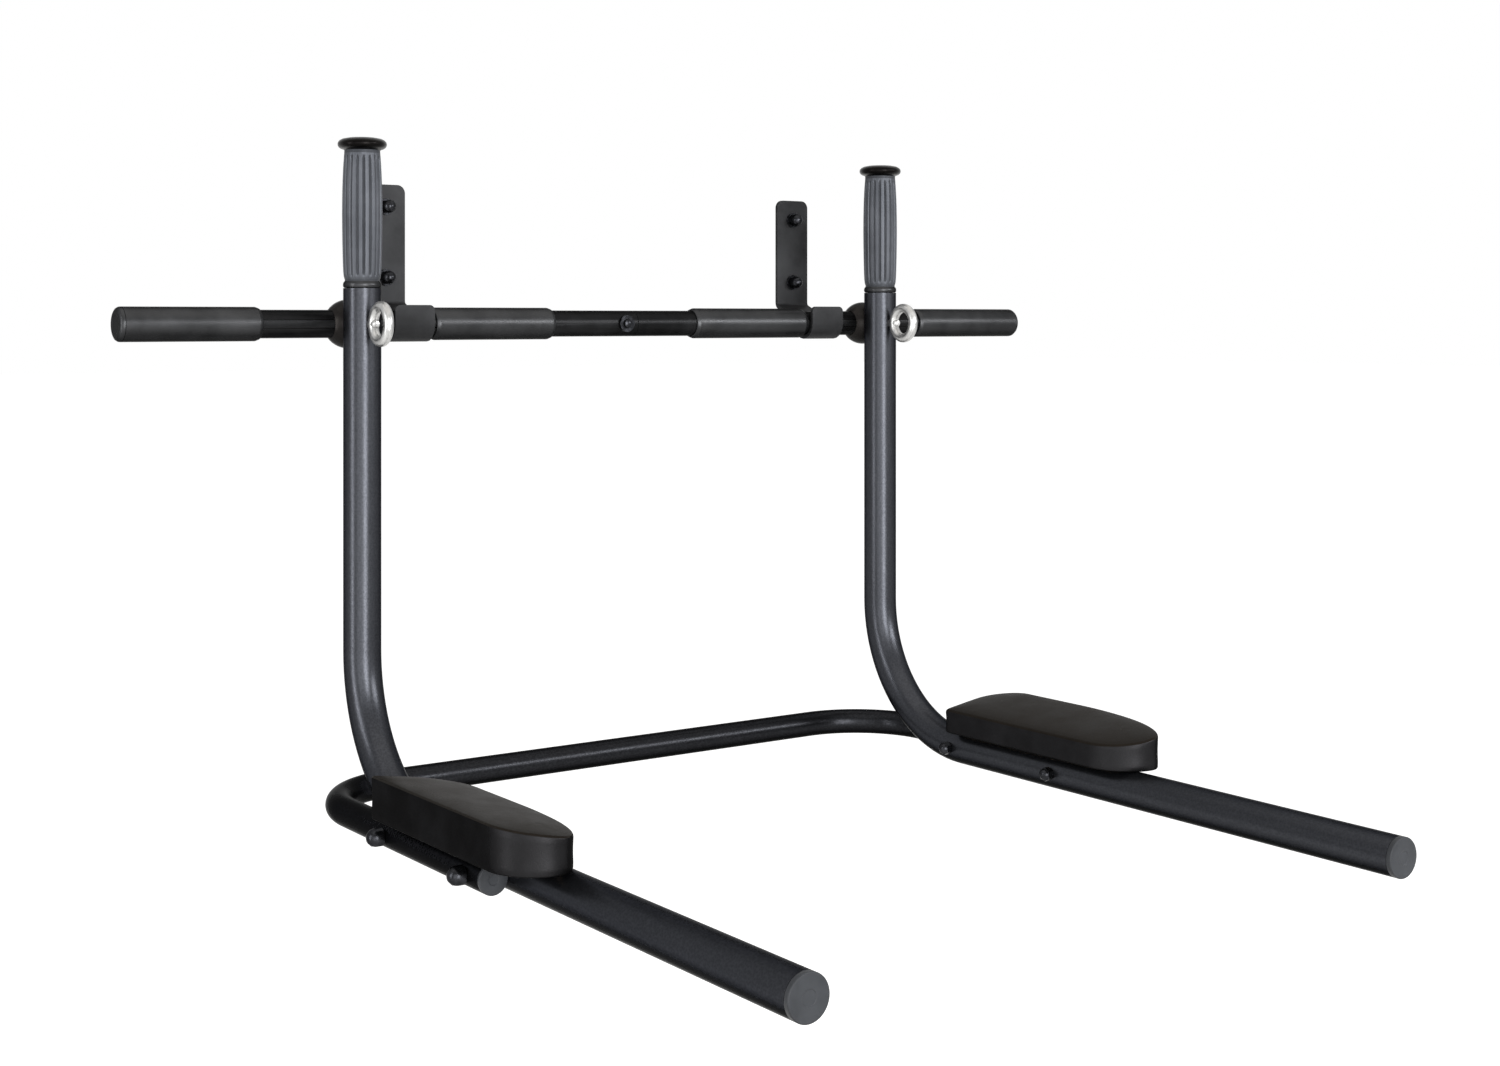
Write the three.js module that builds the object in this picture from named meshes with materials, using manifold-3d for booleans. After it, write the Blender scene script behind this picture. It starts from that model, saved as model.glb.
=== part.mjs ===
// Wall-hung dip station with pull-up bar, in millimetres, +Z up, the wall on the +Y side
// The origin lies on the wall, in the middle of the four wall fixings

import * as THREE from "three";
import { mergeVertices } from "three/addons/utils/BufferGeometryUtils.js";
import Module from "manifold-3d";

const wasm = await Module();
wasm.setup();

// Clearances
const seatGap = 0.3;
const boreGap = 0.4;
const overrun = 2;

// Main layout
const barToWall = 56;
const barToPost = 34;
const barBelowFixings = 86.5;
const dipBelowBar = 480;
const postHalfSpacing = 334.5;
const bracketInsidePost = 66.5;

// Tubes
const heavyRadius = 19;
const heavyWall = 2;
const thinRadius = 14.25;
const thinWall = 2;

// Dip tubes
const postAboveBar = 36;
const bendRadius = 152;
const dipReach = 744;

// Rear frame
const crossbarBehindPost = 56;
const frameCornerRadius = 97;
const armReach = 336.5;

// Wall brackets
const stripWidth = 45;
const stripThickness = 4;
const plateTop = 61;
const fixingHalfSpacing = 37.5;
const fixingRadius = 4;
const stepTopAboveBar = 20.5;
const stepBottomAboveBar = 5.8;
const stepBendRadius = 4.4;
const lipAboveBar = 19.5;
const plateCornerRadius = 9;
const lipCornerRadius = 6;

// Pull bar
const barBeyondPost = 234.5;
const jointLeftOfMiddle = 9;
const seamRightOfJoint = 16;
const spigotLength = 60;
const spigotWall = 2;
const jointBoltRadius = 3;
const jointHeadRadius = 5.2;
const jointHeadHeight = 3.6;
const jointHeadCollar = 1.2;
const jointWasherRadius = 9.5;
const jointWasherThickness = 2.4;
const jointNutFlats = 10;
const jointNutHeight = 5;

// Bar grips and bar caps
const barGripRadius = 17.1;
const barGripMouthRadius = 15.6;
const barGripTaper = 4;
const leftOuterGripBeyondPost = 96.5;
const rightOuterGripBeyondPost = 78;
const leftInnerGripStart = 99;
const rightInnerGripStart = 85;
const innerGripBeforeBracket = 26.5;
const barCapLength = 5;
const barCapRounding = 4.6;
const plugLength = 22;

// Ball hubs and eye bolts
const hubRadius = 25;
const hubFlatBehindBar = 22.5;
const eyeShankRadius = 4;
const eyeRingRadius = 17.5;
const eyeWireRadius = 5.3;
const eyeBeforePost = 43.6;
const eyeTipRadius = 4.6;
const eyeWasherRadius = 8;
const eyeWasherThickness = 1.6;
const eyeNutFlats = 13;
const eyeNutHeight = 6.5;
const eyeThreadPastNut = 2;

// Post grips, heights above the bar's axis
const gripBodyRadius = 19.2;
const gripWaistRadius = 17.5;
const gripFlangeRadius = 24;
const gripRingHeight = 5.5;
const gripFluteDepth = 1.3;
const gripBodyTop = 172.5;
const gripTop = 188;
const gripRoof = 11.4;
const coreTop = 176;
const coreSocketDepth = 24;
const coreWall = 2.5;

// End caps
const dipCapLength = 5;
const dipCapChamfer = 1;
const armCapLength = 3;
const armCapChamfer = 0.8;
const armPlugLength = 15;

// Frame bolts and nuts
const rearBoltPastCorner = 105;
const frontBoltBeforeArmEnd = 26.5;
const frameBoltRadius = 4;
const frameHeadRadius = 9;
const frameHeadHeight = 15;
const frameHeadCollar = 6;
const frameNutFlats = 13;
const frameNutHeight = 6.5;
const frameNutDome = 5;

// Wall bolts
const wallWasherRadius = 9;
const wallWasherThickness = 1.6;
const wallHeadRadius = 6.8;
const wallHeadHeight = 14;
const wallHeadCollar = 8;

// Arm pads, heights and widths from the dip tube's axis, reach from the post's axis
const padInnerEdge = 29;
const padOuterEdge = 62;
const padRear = 150;
const padNoseTip = 428;
const padShortNose = 50;
const padLongNose = 150;
const padInnerTop = 45.5;
const padOuterTop = 60.5;
const padTightCorner = 5;
const padWideCorner = 46;
const padShoulder = 3;
const padFoot = 2.5;
const padDrawIn = 1;
const padCrown = 3;
const boardInset = 12;
const boardThickness = 6;
const rearScrewFromPadEnd = 65;
const frontScrewFromPadTip = 43;
const padScrewRadius = 3;
const padScrewHeadRadius = 5;
const padScrewHeadHeight = 3;
const padScrewHeadCollar = 1.2;
const driverHoleRadius = 7;

// Facet counts
const roundSides = 24;
const heavySides = 20;
const thinSides = 16;
const boreSides = 16;
const smallSides = 12;
const shankSides = 8;
const bendSteps = 9;
const cornerSteps = 7;
const roundingSteps = 4;
const domeSteps = 3;
const stripBendSteps = 5;
const gripFlutes = 16;
const wideCornerSteps = 7;
const tightCornerSteps = 3;
const noseSteps = 8;

// Places worked out from the layout
const barY = -barToWall;
const barZ = -barBelowFixings;
const postY = barY - barToPost;
const dipZ = barZ - dipBelowBar;
const heavyBore = heavyRadius - heavyWall;
const thinBore = thinRadius - thinWall;
const armOffset = heavyRadius + seatGap + thinRadius;
const frameHalfWidth = postHalfSpacing + armOffset;
const bracketHalfSpacing = postHalfSpacing - bracketInsidePost;
const innerGripEnd = bracketHalfSpacing - innerGripBeforeBracket;
const seamFromMiddle = seamRightOfJoint - jointLeftOfMiddle;
const barTubeEnd = postHalfSpacing + barBeyondPost;
const rearFrameBolt = frameCornerRadius - crossbarBehindPost + rearBoltPastCorner;
const frontFrameBolt = armReach - frontBoltBeforeArmEnd;
const rearPadScrew = padRear + rearScrewFromPadEnd;
const frontPadScrew = padNoseTip - frontScrewFromPadTip;

const sides = { left: -1, right: 1 };
const levels = { upper: 1, lower: -1 };
const frameBoltPlaces = { rear: rearFrameBolt, front: frontFrameBolt };
const padScrewPlaces = { rear: rearPadScrew, front: frontPadScrew };

// Axes and small vector helpers
const alongX = new THREE.Vector3(1, 0, 0);
const alongY = new THREE.Vector3(0, 1, 0);
const alongZ = new THREE.Vector3(0, 0, 1);

function point(x, y, z) {
  return new THREE.Vector3(x, y, z);
}

function flat(x, y) {
  return new THREE.Vector2(x, y);
}

// Finishes

function finish(color, roughness, metalness) {
  return () => new THREE.MeshStandardMaterial({ color, roughness, metalness });
}

const postPaint = finish(0x2e3134, 0.5, 0.3);
const bracketPaint = finish(0x17181a, 0.55, 0.3);
const barPaint = finish(0x1c1f22, 0.4, 0.3);
const darkSteel = finish(0x1a1b1d, 0.4, 0.6);
const brightSteel = finish(0xdcdcd8, 0.25, 0.95);
const hubPlastic = finish(0x1f1d1c, 0.5, 0);
const gripRubber = finish(0x3b4046, 0.75, 0);
const barRubber = finish(0x2a2d2f, 0.45, 0);
const capPlastic = finish(0x35373a, 0.55, 0);
const padCover = finish(0x1d1917, 0.6, 0);
const boardWood = finish(0x6b4f33, 0.8, 0);

// Geometry helpers

function welded(geometry) {
  const bare = geometry.clone();
  bare.deleteAttribute("normal");
  bare.deleteAttribute("uv");
  const merged = mergeVertices(bare);
  merged.computeVertexNormals();
  return merged;
}

function toSolid(geometry) {
  const merged = welded(geometry);
  const mesh = new wasm.Mesh({
    numProp: 3,
    vertProperties: new Float32Array(merged.attributes.position.array),
    triVerts: new Uint32Array(merged.index.array),
  });
  return new wasm.Manifold(mesh);
}

function fromSolid(solid) {
  const mesh = solid.getMesh();
  const geometry = new THREE.BufferGeometry();
  geometry.setAttribute("position", new THREE.BufferAttribute(new Float32Array(mesh.vertProperties), 3));
  geometry.setIndex(new THREE.BufferAttribute(new Uint32Array(mesh.triVerts), 1));
  geometry.computeVertexNormals();
  return geometry;
}

function cut(geometry, cutters) {
  const solid = cutters.reduce((rest, cutter) => rest.subtract(toSolid(cutter)), toSolid(geometry));
  return fromSolid(solid);
}

function joined(geometries) {
  const solid = geometries.map(toSolid).reduce((sum, next) => sum.add(next));
  return fromSolid(solid);
}

// A profile of radius and place along the axis, turned about that axis
function turned(profile, axis, sideCount) {
  const geometry = new THREE.LatheGeometry(profile, sideCount);
  geometry.applyQuaternion(new THREE.Quaternion().setFromUnitVectors(alongY, axis));
  return geometry;
}

function closedProfile(points) {
  return [...points, points[0].clone()];
}

function rod(radius, start, end, sideCount = shankSides) {
  const span = end.clone().sub(start);
  const geometry = new THREE.CylinderGeometry(radius, radius, span.length(), sideCount);
  geometry.applyQuaternion(new THREE.Quaternion().setFromUnitVectors(alongY, span.normalize()));
  const middle = start.clone().add(end).multiplyScalar(0.5);
  return geometry.translate(middle.x, middle.y, middle.z);
}

function hole(radius, start, end, sideCount = shankSides) {
  const lead = end.clone().sub(start).setLength(overrun);
  return rod(radius, start.clone().sub(lead), end.clone().add(lead), sideCount);
}

function ringWasher(outer, bore, start, length, axis) {
  const profile = [
    flat(bore, start),
    flat(outer, start),
    flat(outer, start + length),
    flat(bore, start + length),
  ];
  return turned(closedProfile(profile), axis, smallSides);
}

// A hexagon nut on the +Y axis, with a thread bore and, when dome is over zero, a closed dome
function hexNut(acrossFlats, height, dome, threadRadius) {
  const cornerRadius = acrossFlats / Math.sqrt(3);
  const body = rod(cornerRadius, point(0, 0, 0), point(0, height, 0), 6);
  const bore = threadRadius + boreGap;
  if (dome === 0) {
    return cut(body, [hole(bore, point(0, 0, 0), point(0, height, 0))]);
  }
  const domeRadius = acrossFlats / 2 - seatGap;
  const cap = domeProfile(domeRadius, height - overrun, height, dome);
  const shell = joined([body, turned(cap, alongY, smallSides)]);
  return cut(shell, [rod(bore, point(0, -overrun, 0), point(0, height, 0))]);
}

// Outline from the axis at start, out to the radius, up to the shoulder and over a dome
function domeProfile(radius, start, shoulder, dome) {
  const outline = [flat(0, start), flat(radius, start)];
  for (let step = 0; step < domeSteps; step += 1) {
    const turn = (step / domeSteps) * (Math.PI / 2);
    outline.push(flat(radius * Math.cos(turn), shoulder + dome * Math.sin(turn)));
  }
  outline.push(flat(0, shoulder + dome));
  return outline;
}

// A path with its own stations, so that straight runs stay one step long
class StationPath extends THREE.Curve {
  constructor(stations) {
    super();
    this.stations = stations;
  }

  getPoint(share) {
    const index = Math.round(share * (this.stations.length - 1));
    return this.stations[index].place.clone();
  }

  getTangent(share) {
    const index = Math.round(share * (this.stations.length - 1));
    return this.stations[index].heading.clone();
  }

  getPointAt(share) {
    return this.getPoint(share);
  }

  getTangentAt(share) {
    return this.getTangent(share);
  }
}

// Stations of a quarter bend from one heading to the next, about the given centre
function quarterBend(centre, radius, heading, nextHeading, steps) {
  const stations = [];
  for (let step = 0; step <= steps; step += 1) {
    const turn = (step / steps) * (Math.PI / 2);
    const place = centre.clone();
    place.addScaledVector(nextHeading, -radius * Math.cos(turn));
    place.addScaledVector(heading, radius * Math.sin(turn));
    const tangent = heading.clone().multiplyScalar(Math.cos(turn));
    tangent.addScaledVector(nextHeading, Math.sin(turn));
    stations.push({ place, heading: tangent.normalize() });
  }
  return stations;
}

function circlePoints(radius, sideCount) {
  const circle = new THREE.Path();
  circle.absarc(0, 0, radius, 0, 2 * Math.PI);
  return circle.getPoints(sideCount / 2).slice(1);
}

function tubeAlong(stations, radius, bore, sideCount) {
  const section = new THREE.Shape(circlePoints(radius, sideCount));
  section.holes.push(new THREE.Path(circlePoints(bore, boreSides)));
  return new THREE.ExtrudeGeometry(section, {
    steps: stations.length - 1,
    extrudePath: new StationPath(stations),
  });
}

// Wall bracket: a flat strip that steps forward and hooks under the bar, seen from the side

const hookRadius = thinRadius + seatGap + stripThickness / 2;

function bracketCentreline() {
  const plateY = -stripThickness / 2;
  const hookBackY = barY + hookRadius;
  const stepTop = flat(plateY, barZ + stepTopAboveBar);
  const stepBottom = flat(hookBackY, barZ + stepBottomAboveBar);
  const slope = stepBottom.clone().sub(stepTop).setLength(stepBendRadius);
  const line = new THREE.Path();
  line.moveTo(plateY, plateTop);
  line.lineTo(plateY, stepTop.y + stepBendRadius);
  line.quadraticCurveTo(stepTop.x, stepTop.y, stepTop.x + slope.x, stepTop.y + slope.y);
  line.lineTo(stepBottom.x - slope.x, stepBottom.y - slope.y);
  line.quadraticCurveTo(stepBottom.x, stepBottom.y, stepBottom.x, stepBottom.y - stepBendRadius);
  line.lineTo(hookBackY, barZ);
  line.absarc(barY, barZ, hookRadius, 0, -Math.PI, true);
  line.lineTo(barY - hookRadius, barZ + lipAboveBar);
  return line.getPoints(stripBendSteps);
}

// The two sides of a flat strip whose centreline is given
function stripShape(centreline, thickness) {
  const offsets = centreline.map((place, index) => {
    const before = centreline[Math.max(index - 1, 0)];
    const after = centreline[Math.min(index + 1, centreline.length - 1)];
    const heading = after.clone().sub(before).normalize();
    return flat(-heading.y, heading.x).multiplyScalar(thickness / 2);
  });
  const front = centreline.map((place, index) => place.clone().sub(offsets[index]));
  const back = centreline.map((place, index) => place.clone().add(offsets[index]));
  return new THREE.Shape([...front, ...back.reverse()]);
}

// What is cut off one upper corner of the strip, seen from the front
function cornerCutter(radius, edge, side, top, backY, depth) {
  const turnX = side * (edge - radius);
  const outsideX = side * (edge + overrun);
  const corner = new THREE.Shape();
  corner.moveTo(turnX, top + overrun);
  corner.lineTo(outsideX, top + overrun);
  corner.lineTo(outsideX, top - radius);
  corner.lineTo(side * edge, top - radius);
  corner.absarc(turnX, top - radius, radius, side > 0 ? 0 : Math.PI, Math.PI / 2, side < 0);
  const block = new THREE.ExtrudeGeometry(corner, {
    depth,
    curveSegments: stripBendSteps,
    bevelEnabled: false,
  });
  return block.rotateX(Math.PI / 2).translate(0, backY, 0);
}

function wallBracket() {
  const shape = stripShape(bracketCentreline(), stripThickness);
  const strip = new THREE.ExtrudeGeometry(shape, { depth: stripWidth, bevelEnabled: false });
  strip.applyMatrix4(new THREE.Matrix4().makeBasis(alongY, alongZ, alongX));
  strip.translate(-stripWidth / 2, 0, 0);
  const cutters = [];
  const edge = stripWidth / 2;
  const depth = stripThickness + 2 * overrun;
  const lipTop = barZ + lipAboveBar;
  const lipBack = barY - thinRadius + overrun;
  for (const side of Object.values(sides)) {
    cutters.push(cornerCutter(plateCornerRadius, edge, side, plateTop, overrun, depth));
    cutters.push(cornerCutter(lipCornerRadius, edge, side, lipTop, lipBack, depth));
  }
  for (const direction of Object.values(levels)) {
    const height = direction * fixingHalfSpacing;
    const back = point(0, 0, height);
    const front = point(0, -stripThickness, height);
    cutters.push(hole(fixingRadius + boreGap, front, back));
  }
  return cut(strip, cutters);
}

const wallWasherFace = -stripThickness - seatGap;
const wallHeadFace = wallWasherFace - wallWasherThickness - seatGap;

function wallWasher() {
  const front = wallWasherFace - wallWasherThickness;
  return ringWasher(wallWasherRadius, fixingRadius + boreGap, front, wallWasherThickness, alongY);
}

// A dome head from its seat up along +Y, with a shank that runs the other way
function domedBolt(headRadius, collar, height, shankRadius, shankLength) {
  const head = turned(domeProfile(headRadius, 0, collar, height - collar), alongY, smallSides);
  return joined([head, rod(shankRadius, point(0, -shankLength, 0), point(0, collar, 0))]);
}

function wallBolt() {
  const length = -wallHeadFace - seatGap;
  const bolt = domedBolt(wallHeadRadius, wallHeadCollar, wallHeadHeight, fixingRadius, length);
  return bolt.rotateX(Math.PI).translate(0, wallHeadFace, 0);
}

// Pull bar, along X about the bar's axis

const spigotRadius = thinBore - boreGap;
const spigotBore = spigotRadius - spigotWall;

function barCrossHoles(side) {
  const reach = thinRadius;
  const jointFront = point(-jointLeftOfMiddle, -reach, 0);
  const jointBack = point(-jointLeftOfMiddle, reach, 0);
  const eyeFront = point(side * postHalfSpacing, -reach, 0);
  const eyeBack = point(side * postHalfSpacing, reach, 0);
  return [
    hole(jointBoltRadius + boreGap, jointFront, jointBack),
    hole(eyeShankRadius + boreGap, eyeFront, eyeBack),
  ];
}

function leftBar() {
  const end = seamFromMiddle - seatGap;
  const profile = [
    flat(thinBore, -barTubeEnd),
    flat(thinRadius, -barTubeEnd),
    flat(thinRadius, end),
    flat(thinBore, end),
  ];
  return cut(turned(closedProfile(profile), alongX, heavySides), barCrossHoles(sides.left));
}

function rightBar() {
  const spigotEnd = seamFromMiddle - spigotLength;
  const stepDepth = thinWall;
  const profile = [
    flat(spigotBore, spigotEnd),
    flat(spigotRadius, spigotEnd),
    flat(spigotRadius, seamFromMiddle),
    flat(thinRadius, seamFromMiddle),
    flat(thinRadius, barTubeEnd),
    flat(thinBore, barTubeEnd),
    flat(thinBore, seamFromMiddle + stepDepth),
    flat(spigotBore, seamFromMiddle + stepDepth),
  ];
  return cut(turned(closedProfile(profile), alongX, heavySides), barCrossHoles(sides.right));
}

// Joint bolt through both halves, its head in front
const jointWasherFace = -thinRadius - jointWasherThickness;
const jointHeadFace = jointWasherFace - seatGap;
const jointNutFace = thinRadius + seatGap;

function jointBolt() {
  const tip = jointNutFace + jointNutHeight + jointBoltRadius / 2;
  const length = tip - jointHeadFace;
  const bolt = domedBolt(jointHeadRadius, jointHeadCollar, jointHeadHeight, jointBoltRadius, length);
  return bolt.rotateX(Math.PI).translate(0, jointHeadFace, 0);
}

function jointWasher() {
  const depth = thinRadius + jointWasherThickness;
  const disc = ringWasher(jointWasherRadius, jointBoltRadius + boreGap, -depth, depth, alongY);
  const saddle = thinRadius + seatGap;
  return cut(disc, [
    hole(saddle, point(-jointWasherRadius, 0, 0), point(jointWasherRadius, 0, 0), heavySides),
    new THREE.BoxGeometry(2 * depth, depth, 2 * depth).translate(0, depth / 2 - thinRadius / 2, 0),
  ]);
}

function jointNut() {
  return hexNut(jointNutFlats, jointNutHeight, 0, jointBoltRadius).translate(0, jointNutFace, 0);
}

// Bar grips and caps are made on the +X side and turned about for the left
function barGrip(start, end, taperAtEnd) {
  const bore = thinRadius + seatGap;
  const endRadius = taperAtEnd ? barGripMouthRadius : barGripRadius;
  const endTaper = taperAtEnd ? barGripTaper : 0;
  const profile = [
    flat(bore, start),
    flat(barGripMouthRadius, start),
    flat(barGripRadius - seatGap, start + barGripTaper / 2),
    flat(barGripRadius, start + barGripTaper),
    flat(barGripRadius, end - endTaper),
    flat(endRadius, end),
    flat(bore, end),
  ];
  const outline = profile.filter((place, index) => index === 0 || !place.equals(profile[index - 1]));
  return turned(closedProfile(outline), alongX, heavySides);
}

function barCap() {
  const face = barTubeEnd + seatGap;
  const end = face + barCapLength;
  const plug = thinBore - boreGap;
  const profile = [flat(0, face - plugLength), flat(plug, face - plugLength), flat(plug, face)];
  profile.push(flat(barGripRadius, face));
  for (let step = 0; step <= roundingSteps; step += 1) {
    const turn = (step / roundingSteps) * (Math.PI / 2);
    const radius = barGripRadius - barCapRounding * (1 - Math.cos(turn));
    profile.push(flat(radius, end - barCapRounding * (1 - Math.sin(turn))));
  }
  profile.push(flat(0, end));
  return turned(profile, alongX, heavySides);
}

function facing(side, geometry) {
  return side > 0 ? geometry : geometry.rotateZ(Math.PI);
}

// Ball hub around the bar, hollowed for the post in front of it

function ballHub() {
  const ball = new THREE.SphereGeometry(hubRadius, heavySides, smallSides);
  const reach = hubRadius;
  const rearCut = hubRadius - hubFlatBehindBar + overrun;
  const rearBlock = new THREE.BoxGeometry(2 * reach, rearCut, 2 * reach);
  rearBlock.translate(0, hubFlatBehindBar + rearCut / 2, 0);
  return cut(ball, [
    hole(thinRadius + seatGap, point(-reach, 0, 0), point(reach, 0, 0), heavySides),
    hole(heavyRadius + seatGap, point(0, -barToPost, -reach), point(0, -barToPost, reach), heavySides),
    hole(eyeShankRadius + boreGap, point(0, -reach, 0), point(0, reach, 0)),
    rearBlock,
  ]);
}

// Eye bolt: its ring stands in front of the post, its shank runs back to the nut behind the hub

const eyeWasherFace = hubFlatBehindBar + seatGap;
const eyeNutFace = eyeWasherFace + eyeWasherThickness + seatGap;

function eyeBolt() {
  const ringY = -barToPost - eyeBeforePost;
  const tipY = ringY + eyeRingRadius - eyeWireRadius;
  const end = eyeNutFace + eyeNutHeight + eyeThreadPastNut;
  const ring = new THREE.TorusGeometry(eyeRingRadius, eyeWireRadius, smallSides, roundSides);
  const tip = new THREE.SphereGeometry(eyeTipRadius, smallSides, shankSides);
  return joined([
    ring.rotateY(Math.PI / 2).translate(0, ringY, 0),
    tip.translate(0, tipY, 0),
    rod(eyeShankRadius, point(0, tipY, 0), point(0, end, 0)),
  ]);
}

function eyeWasher() {
  const bore = eyeShankRadius + boreGap;
  return ringWasher(eyeWasherRadius, bore, eyeWasherFace, eyeWasherThickness, alongY);
}

function eyeNut() {
  return hexNut(eyeNutFlats, eyeNutHeight, 0, eyeShankRadius).translate(0, eyeNutFace, 0);
}

// Dip tube: post, bend and dip bar, about the post's axis at the bar's height

function dipTube() {
  const down = alongZ.clone().negate();
  const forward = alongY.clone().negate();
  const bendCentre = point(0, -bendRadius, -dipBelowBar + bendRadius);
  const stations = [
    { place: point(0, 0, postAboveBar), heading: down },
    ...quarterBend(bendCentre, bendRadius, down, forward, bendSteps),
    { place: point(0, -dipReach, -dipBelowBar), heading: forward },
  ];
  const tube = tubeAlong(stations, heavyRadius, heavyBore, heavySides);
  const cutters = [
    hole(eyeShankRadius + boreGap, point(0, -heavyRadius, 0), point(0, heavyRadius, 0)),
  ];
  for (const reach of Object.values(frameBoltPlaces)) {
    const near = point(-heavyRadius, -reach, -dipBelowBar);
    const far = point(heavyRadius, -reach, -dipBelowBar);
    cutters.push(hole(frameBoltRadius + boreGap, near, far));
  }
  for (const reach of Object.values(padScrewPlaces)) {
    const low = point(0, -reach, -dipBelowBar - heavyRadius);
    const middle = point(0, -reach, -dipBelowBar);
    const high = point(0, -reach, -dipBelowBar + heavyRadius);
    cutters.push(hole(driverHoleRadius, low, middle), hole(padScrewRadius + boreGap, middle, high));
  }
  return cut(tube, cutters);
}

// Handle core in the post's mouth

const coreSocketRadius = heavyBore - boreGap;

function gripCore() {
  const foot = postAboveBar - coreSocketDepth;
  const bore = thinRadius - coreWall;
  const profile = [
    flat(bore, foot),
    flat(coreSocketRadius, foot),
    flat(coreSocketRadius, postAboveBar),
    flat(thinRadius, postAboveBar),
    flat(thinRadius, coreTop),
    flat(bore, coreTop),
  ];
  return turned(closedProfile(profile), alongZ, heavySides);
}

// Fluted grip: a ring at the foot, a swelling body with flutes, a wide flange on top

const gripFoot = postAboveBar + seatGap;
const gripBodyFoot = gripFoot + gripRingHeight + overrun;
const bodyHeightShares = [0, 0.05, 0.25, 0.6, 0.88, 0.96, 1];
const bodySwellShares = [0, 0.45, 0.95, 1, 0.65, 0.3, 0];
const fluteShares = [0, 0.9, 1, 1, 1, 0.3, 0];
const flangeHeightShares = [0.1, 0.36, 0.58, 0.85];
const flangeRadiusShares = [0.45, 0.98, 1, 0.1];

function gripProfile() {
  const ringBulge = (gripBodyRadius - gripWaistRadius) / 2;
  const rows = [
    { radius: gripBodyRadius - ringBulge, height: gripFoot, flute: 0 },
    { radius: gripBodyRadius, height: gripFoot + gripRingHeight / 2, flute: 0 },
    { radius: gripWaistRadius, height: gripFoot + gripRingHeight, flute: 0 },
  ];
  bodyHeightShares.forEach((share, index) => {
    const swell = bodySwellShares[index] * (gripBodyRadius - gripWaistRadius);
    const height = gripBodyFoot + share * (gripBodyTop - gripBodyFoot);
    rows.push({ radius: gripWaistRadius + swell, height, flute: fluteShares[index] * gripFluteDepth });
  });
  flangeHeightShares.forEach((share, index) => {
    const spread = flangeRadiusShares[index] * (gripFlangeRadius - gripWaistRadius);
    const height = gripBodyTop + share * (gripTop - gripBodyTop);
    rows.push({ radius: gripWaistRadius + spread, height, flute: 0 });
  });
  return [{ radius: 0, height: gripFoot, flute: 0 }, ...rows, { radius: 0, height: gripTop, flute: 0 }];
}

function postGrip() {
  const rows = gripProfile();
  const sideCount = 2 * gripFlutes;
  const geometry = new THREE.LatheGeometry(rows.map((row) => flat(row.radius, row.height)), sideCount);
  const places = geometry.attributes.position;
  for (let side = 0; side <= sideCount; side += 1) {
    const turn = (side / gripFlutes) * Math.PI;
    const groove = side % 2;
    rows.forEach((row, index) => {
      const vertex = side * rows.length + index;
      const radius = row.radius - groove * row.flute;
      places.setX(vertex, radius * Math.sin(turn));
      places.setZ(vertex, radius * Math.cos(turn));
    });
  }
  const bore = rod(thinRadius + seatGap, point(0, 0, 0), point(0, gripTop - gripRoof, 0), heavySides);
  return cut(geometry, [bore]).rotateX(Math.PI / 2);
}

// Plug-in end cap on the -Y end of a tube, its flange as wide as the tube
function endCap(radius, bore, length, chamfer, inserted) {
  const plug = bore - boreGap;
  const profile = [
    flat(0, -inserted),
    flat(plug, -inserted),
    flat(plug, seatGap),
    flat(radius, seatGap),
    flat(radius, seatGap + length - chamfer),
    flat(radius - chamfer, seatGap + length),
    flat(0, seatGap + length),
  ];
  return turned(profile, alongY, roundSides).rotateX(Math.PI);
}

// Rear frame: a U in a level plane, its crossbar behind the posts

function rearFrame() {
  const back = alongY.clone();
  const across = alongX.clone();
  const forward = alongY.clone().negate();
  const bendY = crossbarBehindPost - frameCornerRadius;
  const bendX = frameHalfWidth - frameCornerRadius;
  const stations = [
    { place: point(-frameHalfWidth, -armReach, 0), heading: back },
    ...quarterBend(point(-bendX, bendY, 0), frameCornerRadius, back, across, cornerSteps),
    ...quarterBend(point(bendX, bendY, 0), frameCornerRadius, across, forward, cornerSteps),
    { place: point(frameHalfWidth, -armReach, 0), heading: forward },
  ];
  const tube = tubeAlong(stations, thinRadius, thinBore, thinSides);
  const cutters = [];
  for (const side of Object.values(sides)) {
    for (const reach of Object.values(frameBoltPlaces)) {
      const near = point(side * (frameHalfWidth - thinRadius), -reach, 0);
      const far = point(side * (frameHalfWidth + thinRadius), -reach, 0);
      cutters.push(hole(frameBoltRadius + boreGap, near, far));
    }
  }
  return cut(tube, cutters);
}

// Frame bolts lie across the arm and the dip tube, made for the right side, head outwards

const frameHeadFace = armOffset + thinRadius + seatGap;
const frameNutFace = -heavyRadius - seatGap;

function frameBolt() {
  const length = frameHeadFace - frameNutFace + frameNutHeight - seatGap;
  const bolt = domedBolt(frameHeadRadius, frameHeadCollar, frameHeadHeight, frameBoltRadius, length);
  return bolt.rotateZ(-Math.PI / 2).translate(frameHeadFace, 0, 0);
}

function frameNut() {
  const nut = hexNut(frameNutFlats, frameNutHeight, frameNutDome, frameBoltRadius);
  return nut.rotateZ(Math.PI / 2).translate(frameNutFace, 0, 0);
}

// Arm pads: a level foot, a top that falls towards the user, one tight and one wide rear corner

const padHalfWidth = (padInnerEdge + padOuterEdge) / 2;
const padFootHeight = heavyRadius + seatGap;
const padSlope = (padOuterTop - padInnerTop) / (padInnerEdge + padOuterEdge);

function padMiddle(side) {
  return (side * (padOuterEdge - padInnerEdge)) / 2;
}

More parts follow.
